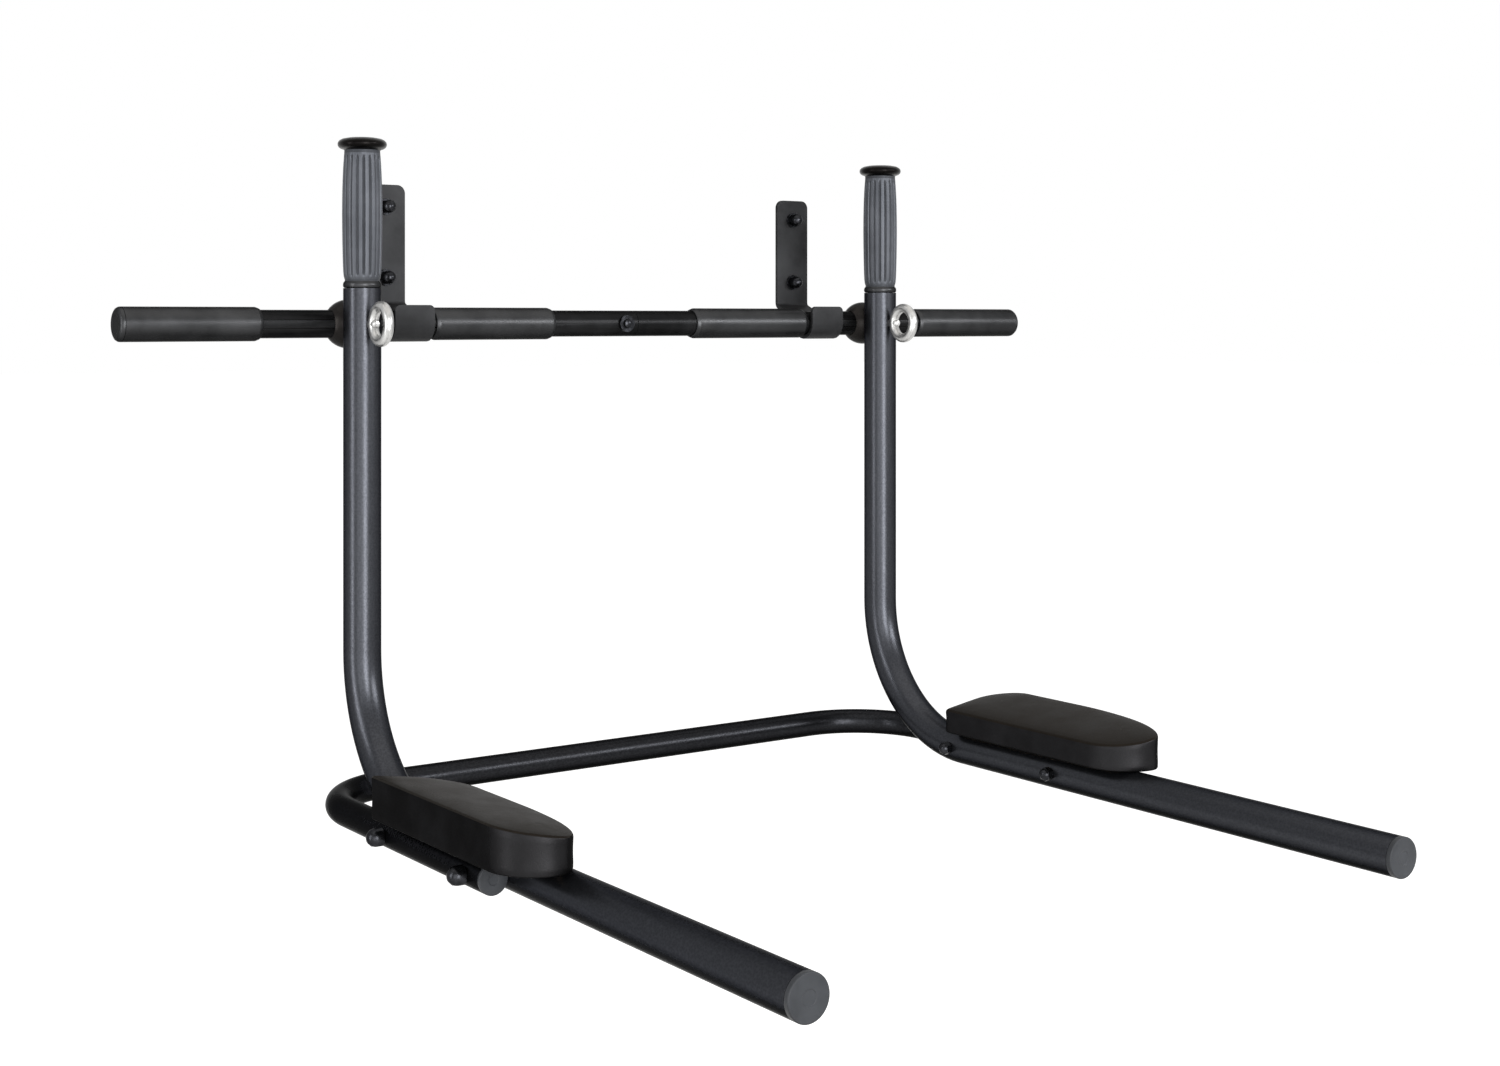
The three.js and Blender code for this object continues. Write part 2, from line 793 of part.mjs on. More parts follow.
function arcPoints(centreX, centreY, reachX, reachY, start, turn, steps) {
  const points = [];
  for (let step = 0; step <= steps; step += 1) {
    const angle = start + (step / steps) * turn;
    points.push(flat(centreX + reachX * Math.cos(angle), centreY + reachY * Math.sin(angle)));
  }
  return points;
}

function padPlan(side) {
  const middle = padMiddle(side);
  const near = middle - padHalfWidth;
  const far = middle + padHalfWidth;
  const quarter = Math.PI / 2;
  const wide = padWideCorner;
  const tight = padTightCorner;
  const noseQuarter = (reach, start) =>
    arcPoints(middle, reach - padNoseTip, padHalfWidth, reach, start, quarter, noseSteps);
  return [
    ...arcPoints(far - wide, -padRear - wide, wide, wide, 0, quarter, wideCornerSteps),
    ...arcPoints(near + tight, -padRear - tight, tight, tight, quarter, quarter, tightCornerSteps),
    ...noseQuarter(padShortNose, 2 * quarter),
    ...noseQuarter(padLongNose, 3 * quarter).slice(1),
  ];
}

// The plan drawn in towards the pad's middle line
function drawnIn(plan, side, inset) {
  const share = inset / padHalfWidth;
  const rearEnd = -padRear - padHalfWidth;
  const noseEnd = padHalfWidth - padNoseTip;
  return plan.map((place) => {
    const along = Math.min(Math.max(place.y, noseEnd), rearEnd);
    return place.clone().lerp(flat(padMiddle(side), along), share);
  });
}

function padTop(side, x) {
  const outward = side * x + padInnerEdge;
  return padInnerTop + padSlope * outward;
}

function ringAt(plan, side, inset, heightAt) {
  return drawnIn(plan, side, inset).map((place) => point(place.x, place.y, heightAt(place.x)));
}

// A closed skin over rings of equal point counts, with a flat face on the first and the last
function lofted(rings) {
  const count = rings[0].length;
  const places = rings.flat().flatMap((place) => [place.x, place.y, place.z]);
  const faces = [];
  for (let ring = 0; ring < rings.length - 1; ring += 1) {
    for (let step = 0; step < count; step += 1) {
      const next = (step + 1) % count;
      const low = ring * count;
      const high = low + count;
      faces.push(low + step, low + next, high + next);
      faces.push(low + step, high + next, high + step);
    }
  }
  const first = rings[0].map((place) => flat(place.x, place.y));
  const last = rings[rings.length - 1].map((place) => flat(place.x, place.y));
  const lastStart = (rings.length - 1) * count;
  for (const [a, b, c] of THREE.ShapeUtils.triangulateShape(first, [])) {
    faces.push(a, c, b);
  }
  for (const [a, b, c] of THREE.ShapeUtils.triangulateShape(last, [])) {
    faces.push(lastStart + a, lastStart + b, lastStart + c);
  }
  const geometry = new THREE.BufferGeometry();
  geometry.setAttribute("position", new THREE.Float32BufferAttribute(places, 3));
  geometry.setIndex(faces);
  geometry.computeVertexNormals();
  return geometry;
}

// Rings of the crown: how far they are drawn in, and how far they have risen
const crownInsetShares = [0.3, 0.55, 0.8];
const crownRiseShares = [0.6, 0.9, 1];

function padCushion(side) {
  const plan = padPlan(side);
  const pocketInset = boardInset - boreGap;
  const pocketRoof = padFootHeight + boardThickness + seatGap;
  const shoulderShare = 1 - Math.SQRT1_2;
  const level = (height) => () => height;
  const waist = (x) => (padFootHeight + padTop(side, x)) / 2;
  const below = (drop) => (x) => padTop(side, x) - drop;
  const crown = crownInsetShares.map((share, index) => {
    const rise = crownRiseShares[index] * padCrown;
    return ringAt(plan, side, share * padHalfWidth, below(-rise));
  });
  return lofted([
    ringAt(plan, side, pocketInset, level(pocketRoof)),
    ringAt(plan, side, pocketInset, level(padFootHeight)),
    ringAt(plan, side, padFoot, level(padFootHeight)),
    ringAt(plan, side, 0, level(padFootHeight + padFoot)),
    ringAt(plan, side, padDrawIn, waist),
    ringAt(plan, side, 0, below(padShoulder)),
    ringAt(plan, side, padShoulder * shoulderShare, below(padShoulder * shoulderShare)),
    ringAt(plan, side, padShoulder, below(0)),
    ...crown,
  ]);
}

function padBoard(side) {
  const plan = padPlan(side);
  const level = (height) => () => height;
  const board = lofted([
    ringAt(plan, side, boardInset, level(padFootHeight)),
    ringAt(plan, side, boardInset, level(padFootHeight + boardThickness)),
  ]);
  const roof = padFootHeight + boardThickness;
  const holes = Object.values(padScrewPlaces).map((reach) =>
    hole(padScrewRadius + boreGap, point(0, -reach, padFootHeight), point(0, -reach, roof)),
  );
  return cut(board, holes);
}

// Pad screw: its head bears on the inside of the tube, reached through the driver hole below
function padScrew() {
  const roof = heavyBore * Math.cos(Math.PI / boreSides);
  const seat = Math.sqrt(roof ** 2 - padScrewHeadRadius ** 2) - seatGap;
  const length = padFootHeight + boardThickness - seatGap - seat;
  const headRadius = padScrewHeadRadius;
  const screw = domedBolt(headRadius, padScrewHeadCollar, padScrewHeadHeight, padScrewRadius, length);
  return screw.rotateX(-Math.PI / 2).translate(0, 0, seat);
}

// Scene graph

function piece(parent, name, geometry, material) {
  const mesh = new THREE.Mesh(geometry, material());
  mesh.name = name;
  parent.add(mesh);
  return mesh;
}

function groupAt(parent, x, y, z) {
  const group = new THREE.Group();
  group.position.set(x, y, z);
  parent.add(group);
  return group;
}

const station = new THREE.Group();
station.name = "dip_station";

const barLine = groupAt(station, 0, barY, barZ);
piece(barLine, "pull_bar_left", leftBar(), barPaint);
piece(barLine, "pull_bar_right", rightBar(), barPaint);

const joint = groupAt(barLine, -jointLeftOfMiddle, 0, 0);
piece(joint, "joint_bolt", jointBolt(), darkSteel);
piece(joint, "joint_washer", jointWasher(), darkSteel);
piece(joint, "joint_nut", jointNut(), darkSteel);

const frameLevel = groupAt(station, 0, postY, dipZ);
piece(frameLevel, "rear_frame", rearFrame(), postPaint);

for (const [name, side] of Object.entries(sides)) {
  const bracket = groupAt(station, side * bracketHalfSpacing, 0, 0);
  piece(bracket, `wall_bracket_${name}`, wallBracket(), bracketPaint);
  for (const [level, direction] of Object.entries(levels)) {
    const height = direction * fixingHalfSpacing;
    piece(bracket, `wall_bolt_${name}_${level}`, wallBolt().translate(0, 0, height), darkSteel);
    piece(bracket, `wall_washer_${name}_${level}`, wallWasher().translate(0, 0, height), darkSteel);
  }

  const innerStart = side > 0 ? rightInnerGripStart : leftInnerGripStart;
  piece(barLine, `inner_grip_${name}`, facing(side, barGrip(innerStart, innerGripEnd, true)), barRubber);
  const outerStart = postHalfSpacing + (side > 0 ? rightOuterGripBeyondPost : leftOuterGripBeyondPost);
  piece(barLine, `outer_grip_${name}`, facing(side, barGrip(outerStart, barTubeEnd, false)), barRubber);
  piece(barLine, `bar_cap_${name}`, facing(side, barCap()), capPlastic);

  const hub = groupAt(station, side * postHalfSpacing, barY, barZ);
  piece(hub, `ball_hub_${name}`, ballHub(), hubPlastic);
  piece(hub, `eye_bolt_${name}`, eyeBolt(), brightSteel);
  piece(hub, `eye_washer_${name}`, eyeWasher(), darkSteel);
  piece(hub, `eye_nut_${name}`, eyeNut(), darkSteel);

  const post = groupAt(station, side * postHalfSpacing, postY, barZ);
  piece(post, `dip_tube_${name}`, dipTube(), postPaint);
  piece(post, `grip_core_${name}`, gripCore(), darkSteel);
  piece(post, `post_grip_${name}`, postGrip(), gripRubber);

  const dip = groupAt(station, side * postHalfSpacing, postY, dipZ);
  const dipCap = endCap(heavyRadius, heavyBore, dipCapLength, dipCapChamfer, plugLength);
  piece(dip, `dip_cap_${name}`, dipCap.translate(0, -dipReach, 0), capPlastic);
  const armCap = endCap(thinRadius, thinBore, armCapLength, armCapChamfer, armPlugLength);
  piece(dip, `arm_cap_${name}`, armCap.translate(side * armOffset, -armReach, 0), capPlastic);
  for (const [place, reach] of Object.entries(frameBoltPlaces)) {
    piece(dip, `frame_bolt_${name}_${place}`, facing(side, frameBolt()).translate(0, -reach, 0), darkSteel);
    piece(dip, `frame_nut_${name}_${place}`, facing(side, frameNut()).translate(0, -reach, 0), darkSteel);
  }
  piece(dip, `pad_cushion_${name}`, padCushion(side), padCover);
  piece(dip, `pad_board_${name}`, padBoard(side), boardWood);
  for (const [place, reach] of Object.entries(padScrewPlaces)) {
    piece(dip, `pad_screw_${name}_${place}`, padScrew().translate(0, -reach, 0), darkSteel);
  }
}

export default station;
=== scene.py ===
import math

import bmesh
import bpy
from mathutils import Euler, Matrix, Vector


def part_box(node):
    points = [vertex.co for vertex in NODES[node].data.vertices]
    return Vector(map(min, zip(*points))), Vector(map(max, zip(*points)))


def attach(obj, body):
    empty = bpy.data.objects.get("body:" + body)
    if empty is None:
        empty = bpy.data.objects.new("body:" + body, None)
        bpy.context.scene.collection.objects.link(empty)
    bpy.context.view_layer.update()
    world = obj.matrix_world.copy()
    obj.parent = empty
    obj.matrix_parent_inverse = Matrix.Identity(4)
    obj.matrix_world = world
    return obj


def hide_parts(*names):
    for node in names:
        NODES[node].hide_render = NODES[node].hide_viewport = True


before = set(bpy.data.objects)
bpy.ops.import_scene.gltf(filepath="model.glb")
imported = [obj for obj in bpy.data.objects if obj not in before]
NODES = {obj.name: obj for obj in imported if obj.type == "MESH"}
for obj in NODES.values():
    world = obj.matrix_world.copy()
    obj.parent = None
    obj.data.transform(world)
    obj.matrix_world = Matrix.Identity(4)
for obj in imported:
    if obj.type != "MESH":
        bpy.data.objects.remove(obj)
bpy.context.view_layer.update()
SIDES = {"left": -1, "right": 1}

# Sizes in metres, the same as the part's
HEAVY_RADIUS = 0.019
HEAVY_BORE = 0.017
THIN_RADIUS = 0.01425
THIN_BORE = 0.01225
BAR_TO_POST = 0.034
BEND_RADIUS = 0.152
CORNER_RADIUS = 0.097
DRIVER_HOLE_RADIUS = 0.007
SCREW_PLACES = (0.215, 0.385)
BOARD_INSET = 0.012
FIT_GAP = 0.0003
PLUG_GAP = 0.0004

X_AXIS = Vector((1, 0, 0))
Y_AXIS = Vector((0, 1, 0))
Z_AXIS = Vector((0, 0, 1))


# Node helpers, for materials, background and floor


def with_values(node, **values):
    """Sets a node's sockets by name. An underscore stands for a space."""
    for name, value in values.items():
        node.inputs[name.replace("_", " ")].default_value = value
    return node


def combined(tree, operation, first, second):
    """The result of a math node over two values."""
    node = tree.nodes.new("ShaderNodeMath")
    node.operation = operation
    tree.links.new(first, node.inputs[0])
    tree.links.new(second, node.inputs[1])
    return node.outputs["Value"]


# Materials

# Most of a noise lies between these two values
NOISE_LOW = 0.3
NOISE_HIGH = 0.7
# How far down a surface faces where its painted shade is darkest, as the height of its normal
FACING_DOWN = -0.65


class Finish:
    """A principled material whose patterns follow the object's own coordinates."""

    def __init__(self, name):
        self.material = bpy.data.materials.new(name)
        self.material.use_nodes = True
        self.tree = self.material.node_tree
        self.nodes = self.tree.nodes
        self.links = self.tree.links
        self.shader = self.nodes["Principled BSDF"]
        places = self.nodes.new("ShaderNodeTexCoord")
        self.place = places.outputs["Object"]
        self.facing = places.outputs["Normal"]
        # The painted shade on undersides, once it is set
        self.underside = None
        self.normal = None

    def fixed(self, **values):
        with_values(self.shader, **values)
        return self

    def gloss(self, level):
        return self.fixed(Specular_IOR_Level=level)

    def metal(self, share, edge):
        """Metal flake in the finish. Its edges reflect less than its middle."""
        return self.fixed(Metallic=share, Specular_Tint=(edge, edge, edge, 1))

    def stretched(self, scale):
        node = with_values(self.nodes.new("ShaderNodeMapping"), Scale=scale)
        self.links.new(self.place, node.inputs["Vector"])
        return node.outputs["Vector"]

    def speckle(self, scale, detail=3.0, roughness=0.5, place=None):
        node = with_values(self.nodes.new("ShaderNodeTexNoise"),
                           Scale=scale, Detail=detail, Roughness=roughness)
        self.links.new(place or self.place, node.inputs["Vector"])
        return node.outputs["Fac"]

    def cells(self, scale, feature, **values):
        node = self.nodes.new("ShaderNodeTexVoronoi")
        node.feature = feature
        with_values(node, Scale=scale, **values)
        self.links.new(self.place, node.inputs["Vector"])
        return node.outputs["Distance"]

    def between(self, value, low, high, start=NOISE_LOW, end=NOISE_HIGH):
        """A value from start to end, spread over low to high."""
        node = with_values(self.nodes.new("ShaderNodeMapRange"),
                           From_Min=start, From_Max=end, To_Min=low, To_Max=high)
        self.links.new(value, node.inputs["Value"])
        return node.outputs["Result"]

    def summed(self, first, second):
        return combined(self.tree, "ADD", first, second)

    def painted_underside_shade(self, share):
        """Paints shade on the colours set after this: darker where the surface faces down."""
        split = self.nodes.new("ShaderNodeSeparateXYZ")
        self.links.new(self.facing, split.inputs["Vector"])
        self.underside = self.between(split.outputs["Z"], share, 1, FACING_DOWN, 0)
        return self

    def colour(self, value, low, high, start=NOISE_LOW, end=NOISE_HIGH):
        node = self.nodes.new("ShaderNodeValToRGB")
        first, last = node.color_ramp.elements
        first.position, first.color = start, (*low, 1)
        last.position, last.color = end, (*high, 1)
        self.links.new(value, node.inputs["Fac"])
        result = node.outputs["Color"]
        # Painted shade: darker where the surface faces down
        if self.underside is not None:
            shade = self.nodes.new("ShaderNodeVectorMath")
            shade.operation = "SCALE"
            self.links.new(result, shade.inputs["Vector"])
            self.links.new(self.underside, shade.inputs["Scale"])
            result = shade.outputs["Vector"]
        self.links.new(result, self.shader.inputs["Base Color"])
        return self

    def rough(self, value, low, high, start=NOISE_LOW, end=NOISE_HIGH):
        result = self.between(value, low, high, start, end)
        self.links.new(result, self.shader.inputs["Roughness"])
        return self

    def bump(self, height, distance, strength):
        """Adds a bump on top of those set before."""
        node = with_values(self.nodes.new("ShaderNodeBump"), Distance=distance, Strength=strength)
        self.links.new(height, node.inputs["Height"])
        if self.normal is not None:
            self.links.new(self.normal, node.inputs["Normal"])
        self.normal = node.outputs["Normal"]
        self.links.new(self.normal, self.shader.inputs["Normal"])
        return self


def flecked_paint(name, low, high):
    """Charcoal powder coat with a fine metal fleck, a faint mottle and painted shade on its
    undersides.
    """
    paint = Finish(name).gloss(0.1).metal(share=0.92, edge=0.34).painted_underside_shade(0.3)
    mottle = paint.cells(520, "SMOOTH_F1", Smoothness=0.6)
    grain = paint.speckle(1400, detail=3)
    patches = paint.speckle(28, detail=2)
    paint.colour(mottle, low, high, start=0.15, end=0.75)
    paint.rough(paint.summed(patches, grain), low=0.29, high=0.34, start=0.8, end=1.25)
    paint.bump(mottle, distance=0.00002, strength=0.3)
    return paint.bump(grain, distance=0.00001, strength=0.3).material


def satin_paint(name, low, high, roughness, metal, edge, grain_depth):
    """Black powder coat with orange peel and faint wear."""
    paint = Finish(name).gloss(0.1).metal(metal, edge)
    peel = paint.speckle(650, detail=2)
    grain = paint.speckle(2600, detail=2)
    patches = paint.speckle(22, detail=4, roughness=0.6)
    paint.colour(patches, low, high, start=0.35, end=0.7)
    paint.rough(paint.summed(patches, grain), low=roughness - 0.05, high=roughness + 0.07,
                start=0.8, end=1.25)
    paint.bump(peel, distance=grain_depth, strength=0.4)
    return paint.bump(grain, distance=grain_depth / 2, strength=0.4).material


def black_steel():
    """Blackened fasteners, worn a little lighter in places."""
    steel = Finish("dark_steel").gloss(0.15).metal(share=0.9, edge=0.5)
    patches = steel.speckle(160, detail=4, roughness=0.65)
    grain = steel.speckle(2200, detail=2)
    steel.colour(patches, (0.012, 0.0125, 0.014), (0.030, 0.031, 0.035), start=0.4, end=0.75)
    steel.rough(patches, low=0.22, high=0.32, start=0.35, end=0.7)
    return steel.bump(grain, distance=0.00004, strength=0.5).material


def bright_steel():
    """Zinc-plated eye bolts with a soft brushed cloudiness."""
    steel = Finish("bright_steel").fixed(Metallic=1.0)
    cloud = steel.speckle(120, detail=4, roughness=0.6)
    brushed = steel.speckle(900, detail=2, place=steel.stretched((1, 1, 6)))
    steel.colour(cloud, (0.28, 0.28, 0.277), (0.42, 0.42, 0.415))
    steel.rough(steel.summed(cloud, brushed), low=0.30, high=0.44, start=0.8, end=1.2)
    return steel.bump(brushed, distance=0.00003, strength=0.5).material


def moulded(name, low, high, roughness, metal, edge, depth=0.00005, scale=1500):
    """Moulded plastic or rubber with a spark-eroded grain and painted shade on its undersides."""
    skin = Finish(name).gloss(0.15).metal(metal, edge).painted_underside_shade(0.5)
    grain = skin.speckle(scale, detail=3, roughness=0.6)
    patches = skin.speckle(34, detail=3, roughness=0.55)
    skin.colour(patches, low, high, start=0.35, end=0.7)
    skin.rough(skin.summed(patches, grain), low=roughness - 0.05, high=roughness + 0.06,
               start=0.8, end=1.25)
    return skin.bump(grain, distance=depth, strength=0.6).material


def leatherette(name, low, high, metal):
    """Black cover with a pebbled grain and shallow creases."""
    cover = Finish(name).gloss(0.05).metal(metal, edge=0.14)
    pebble = cover.cells(760, "SMOOTH_F1", Smoothness=0.35)
    crease = cover.cells(240, "DISTANCE_TO_EDGE")
    patches = cover.speckle(24, detail=4, roughness=0.6)
    cover.colour(patches, low, high, start=0.35, end=0.7)
    cover.rough(patches, low=0.42, high=0.52, start=0.35, end=0.7)
    cover.bump(cover.between(crease, 0, 1, start=0, end=0.12), distance=0.00006, strength=0.3)
    return cover.bump(pebble, distance=0.00010, strength=0.5).material


def plywood():
    """Board in the pad's underside, with long grain."""
    board = Finish("board_wood").gloss(0.2)
    grain = board.speckle(60, detail=5, roughness=0.6, place=board.stretched((12, 0.7, 6)))
    board.colour(grain, (0.20, 0.13, 0.075), (0.36, 0.25, 0.15), start=0.35, end=0.7)
    board.rough(grain, low=0.62, high=0.78)
    return board.bump(grain, distance=0.00012, strength=0.5).material


# Each finish with its darker and its lighter colour
FINISHES = {
    "post_paint": flecked_paint("post_paint", (0.026, 0.0272, 0.0311), (0.036, 0.0376, 0.0428)),
    # The rear frame's paint is a darker copy of the post paint: painted shade
    "frame_paint": flecked_paint("frame_paint", (0.009, 0.0093, 0.0105), (0.016, 0.0165, 0.0185)),
    "bracket_paint": satin_paint(
        "bracket_paint", (0.016, 0.0162, 0.017), (0.028, 0.0286, 0.030),
        roughness=0.46, metal=0.6, edge=0.45, grain_depth=0.00007),
    "bar_paint": satin_paint(
        "bar_paint", (0.007, 0.0071, 0.0074), (0.013, 0.0132, 0.0138),
        roughness=0.36, metal=0.9, edge=0.35, grain_depth=0.000004),
    "dark_steel": black_steel(),
    "bright_steel": bright_steel(),
    "hub_plastic": moulded(
        "hub_plastic", (0.0100, 0.0089, 0.0084), (0.0165, 0.0149, 0.0141),
        roughness=0.34, metal=0.6, edge=0.4),
    "grip_rubber": moulded(
        "grip_rubber", (0.052, 0.0555, 0.0635), (0.074, 0.0785, 0.0885),
        roughness=0.44, metal=0.35, edge=0.35, depth=0.00008, scale=1100),
    # The grip's rubber made darker: painted shade in the flutes' grooves and in the bands next to
    # the bead and the flange
    "groove_rubber": moulded(
        "groove_rubber", (0.030, 0.032, 0.0365), (0.042, 0.045, 0.051),
        roughness=0.50, metal=0.2, edge=0.35, depth=0.00005, scale=1100),
    "flange_rubber": moulded(
        "flange_rubber", (0.0042, 0.0038, 0.0037), (0.0070, 0.0065, 0.0063),
        roughness=0.36, metal=0.95, edge=1.0, depth=0.00004, scale=1100),
    "bar_rubber": moulded(
        "bar_rubber", (0.027, 0.0275, 0.0288), (0.038, 0.0387, 0.0404),
        roughness=0.36, metal=0.85, edge=0.3, depth=0.000003, scale=900),
    "cap_plastic": moulded(
        "cap_plastic", (0.018, 0.0194, 0.022), (0.029, 0.0311, 0.035),
        roughness=0.46, metal=0.0, edge=1.0),
    "pad_cover": leatherette(
        "pad_cover", (0.0085, 0.0069, 0.0055), (0.0118, 0.0097, 0.0078), metal=0.25),
    # A darker, glossier copy of the cover for the pad's sides: painted shade
    "pad_border": leatherette(
        "pad_border", (0.0118, 0.0116, 0.0122), (0.0160, 0.0159, 0.0169), metal=0.9),
    "board_wood": plywood(),
}


# Carried-over CAD nodes: rounded edges, smooth curves and a finish for each

WELD_THRESHOLD = 1e-5
SMOOTH_BELOW = math.radians(35)
ROUND_ABOVE = math.radians(40)
EDGE_SEGMENTS = 2


def smoothing_group():
    """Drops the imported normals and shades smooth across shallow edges."""
    group = bpy.data.node_groups.new("smooth_shallow_edges", "GeometryNodeTree")
    for direction in ("INPUT", "OUTPUT"):
        group.interface.new_socket("Geometry", in_out=direction,
                                   socket_type="NodeSocketGeometry")
    entry = group.nodes.new("NodeGroupInput")
    leave = group.nodes.new("NodeGroupOutput")
    drop = with_values(group.nodes.new("GeometryNodeRemoveAttribute"), Name="custom_normal")
    angle = group.nodes.new("GeometryNodeInputMeshEdgeAngle")
    shallow = group.nodes.new("FunctionNodeCompare")
    shallow.data_type = "FLOAT"
    shallow.operation = "LESS_EQUAL"
    with_values(shallow, B=SMOOTH_BELOW)
    by_edge = group.nodes.new("GeometryNodeSetShadeSmooth")
    by_edge.domain = "EDGE"
    by_face = group.nodes.new("GeometryNodeSetShadeSmooth")
    by_face.domain = "FACE"
    group.links.new(entry.outputs[0], drop.inputs["Geometry"])
    group.links.new(angle.outputs["Unsigned Angle"], shallow.inputs["A"])
    group.links.new(drop.outputs["Geometry"], by_edge.inputs["Geometry"])
    group.links.new(shallow.outputs["Result"], by_edge.inputs["Shade Smooth"])
    group.links.new(by_edge.outputs["Geometry"], by_face.inputs["Geometry"])
    group.links.new(by_face.outputs["Geometry"], leave.inputs[0])
    return group


SMOOTHING = smoothing_group()


def smoothed(piece, edge_width):
    """Welds the corners, smooths the curves and rounds the sharp edges."""
    weld = piece.modifiers.new("weld", "WELD")
    weld.merge_threshold = WELD_THRESHOLD
    piece.modifiers.new("smooth", "NODES").node_group = SMOOTHING
    if edge_width:
        bevel = piece.modifiers.new("edges", "BEVEL")
        bevel.width = edge_width
        bevel.segments = EDGE_SEGMENTS
        bevel.limit_method = "ANGLE"
        bevel.angle_limit = ROUND_ABOVE
        bevel.harden_normals = True
        bevel.use_clamp_overlap = True
    return piece


def finished(piece, slot):
    piece.data.materials.clear()
    piece.data.materials.append(FINISHES[slot])
    return piece


# Finish and edge width of each kind of node
SLOTS = {
    "wall_bracket": ("bracket_paint", 0.0004),
    "wall_bolt": ("dark_steel", 0.0003),
    "wall_washer": ("dark_steel", 0.0002),
    "pull_bar": ("bar_paint", 0.0003),
    "joint_bolt": ("dark_steel", 0.0003),
    "joint_washer": ("dark_steel", 0.0002),
    "joint_nut": ("dark_steel", 0.0003),
    "inner_grip": ("bar_rubber", 0.0005),
    "outer_grip": ("bar_rubber", 0.0005),
    "bar_cap": ("bar_rubber", 0.0003),
    "ball_hub": ("hub_plastic", 0.0005),
    "eye_bolt": ("bright_steel", 0),
    "eye_washer": ("dark_steel", 0.0002),
    "eye_nut": ("dark_steel", 0.0003),
    "dip_tube": ("post_paint", 0.0003),
    "grip_core": ("post_paint", 0.0003),
    "post_grip": ("grip_rubber", 0.0004),
    "dip_cap": ("cap_plastic", 0.0004),
    "rear_frame": ("post_paint", 0.0003),
    "arm_cap": ("cap_plastic", 0.0003),
    "frame_bolt": ("dark_steel", 0.0003),
    "frame_nut": ("dark_steel", 0.0003),
    "pad_cushion": ("pad_cover", 0),
    "pad_board": ("board_wood", 0.0003),
    "pad_screw": ("dark_steel", 0.0002),
}

for name, node in NODES.items():
    slot, edge_width = next(SLOTS[kind] for kind in SLOTS if name.startswith(kind))
    finished(smoothed(node, edge_width), slot)


# Finer pieces that stand for CAD nodes

SAME_PLACE = 1e-7
STEEP = 0.5
LATHE_SIDES = 64
TUBE_SIDES = 48
HOLE_SIDES = 32
BEND_STEPS = 24
ROUNDING_STEPS = 4


def placed(name, data):
    """A new object in the scene."""
    item = bpy.data.objects.new(name, data)
    bpy.context.scene.collection.objects.link(item)
    return item


def closed_mesh(name, places, faces):
    """A mesh with its doubled corners merged and its faces turned outwards."""
    mesh = bpy.data.meshes.new(name)
    mesh.from_pydata([tuple(place) for place in places], [], faces)
    shape = bmesh.new()
    shape.from_mesh(mesh)
    bmesh.ops.remove_doubles(shape, verts=shape.verts, dist=SAME_PLACE)
    bmesh.ops.recalc_face_normals(shape, faces=shape.faces)
    shape.to_mesh(mesh)
    shape.free()
    return mesh


def made_piece(name, slot, body, places, faces, edge_width=0.0):
    piece = placed(name, closed_mesh(name, places, faces))
    finished(smoothed(piece, edge_width), slot)
    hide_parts(name.replace("fine_", ""))
    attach(piece, body)
    return piece


def turns(count):
    """Evenly spaced angles of one full turn."""
    return [2 * math.pi * step / count for step in range(count)]


def ring_faces(ring_count, side_count, closed_along=False):
    """Four-sided faces between rings of corners, also from last to first if closed along."""
    faces = []
    for ring in range(ring_count if closed_along else ring_count - 1):
        low = ring * side_count
        high = ((ring + 1) % ring_count) * side_count
        for side in range(side_count):
            after = (side + 1) % side_count
            faces.append((low + side, low + after, high + after, high + side))
    return faces


def lathe(profile, origin, axis, sides=LATHE_SIDES):
    """Rings of a closed profile of (radius, height) turned about an axis through the origin."""
    across = Z_AXIS if abs(axis.z) < STEEP else X_AXIS
    third = axis.cross(across)
    places = []
    for radius, height in profile:
        for turn in turns(sides):
            spoke = math.cos(turn) * across + math.sin(turn) * third
            places.append(origin + height * axis + radius * spoke)
    return places, ring_faces(len(profile), sides, closed_along=True)


def rounded(points):
    """A closed profile whose points with a third number are rounded by it."""
    out = []
    count = len(points)
    for index, point in enumerate(points):
        if len(point) == 2:
            out.append(point)
            continue
        here, rounding = Vector(point[:2]), point[2]
        before = (Vector(points[index - 1][:2]) - here).normalized()
        after = (Vector(points[(index + 1) % count][:2]) - here).normalized()
        half_angle = before.angle(after) / 2
        setback = rounding / math.tan(half_angle)
        centre = here + (before + after).normalized() * rounding / math.sin(half_angle)
        first = here + before * setback - centre
        last = here + after * setback - centre
        for step in range(ROUNDING_STEPS + 1):
            spoke = first.lerp(last, step / ROUNDING_STEPS).normalized()
            out.append(tuple(centre + rounding * spoke))
    return out


def swept_tube(path, binormal, radius, bore):
    """A tube with its bore along a flat path of (place, heading)."""
    places = []
    for size, stations in ((radius, path), (bore, path[::-1])):
        for place, heading in stations:
            across = binormal.cross(heading)
            for turn in turns(TUBE_SIDES):
                spoke = math.cos(turn) * binormal + math.sin(turn) * across
                places.append(place + size * spoke)
    return places, ring_faces(2 * len(path), TUBE_SIDES, closed_along=True)


def bend(centre, start, end, radius):
    """Stations of a quarter bend whose heading turns from start to end."""
    out = []
    for step in range(BEND_STEPS + 1):
        turn = step / BEND_STEPS * math.pi / 2
        spoke = -math.cos(turn) * end + math.sin(turn) * start
        out.append((centre + radius * spoke, math.cos(turn) * start + math.sin(turn) * end))
    return out


def applied(piece, modifier):
    """Moves a piece's last modifier to the front and applies it."""
    piece.modifiers.move(len(piece.modifiers) - 1, 0)
    with bpy.context.temp_override(object=piece, active_object=piece, selected_objects=[piece]):
        bpy.ops.object.modifier_apply(modifier=modifier.name)


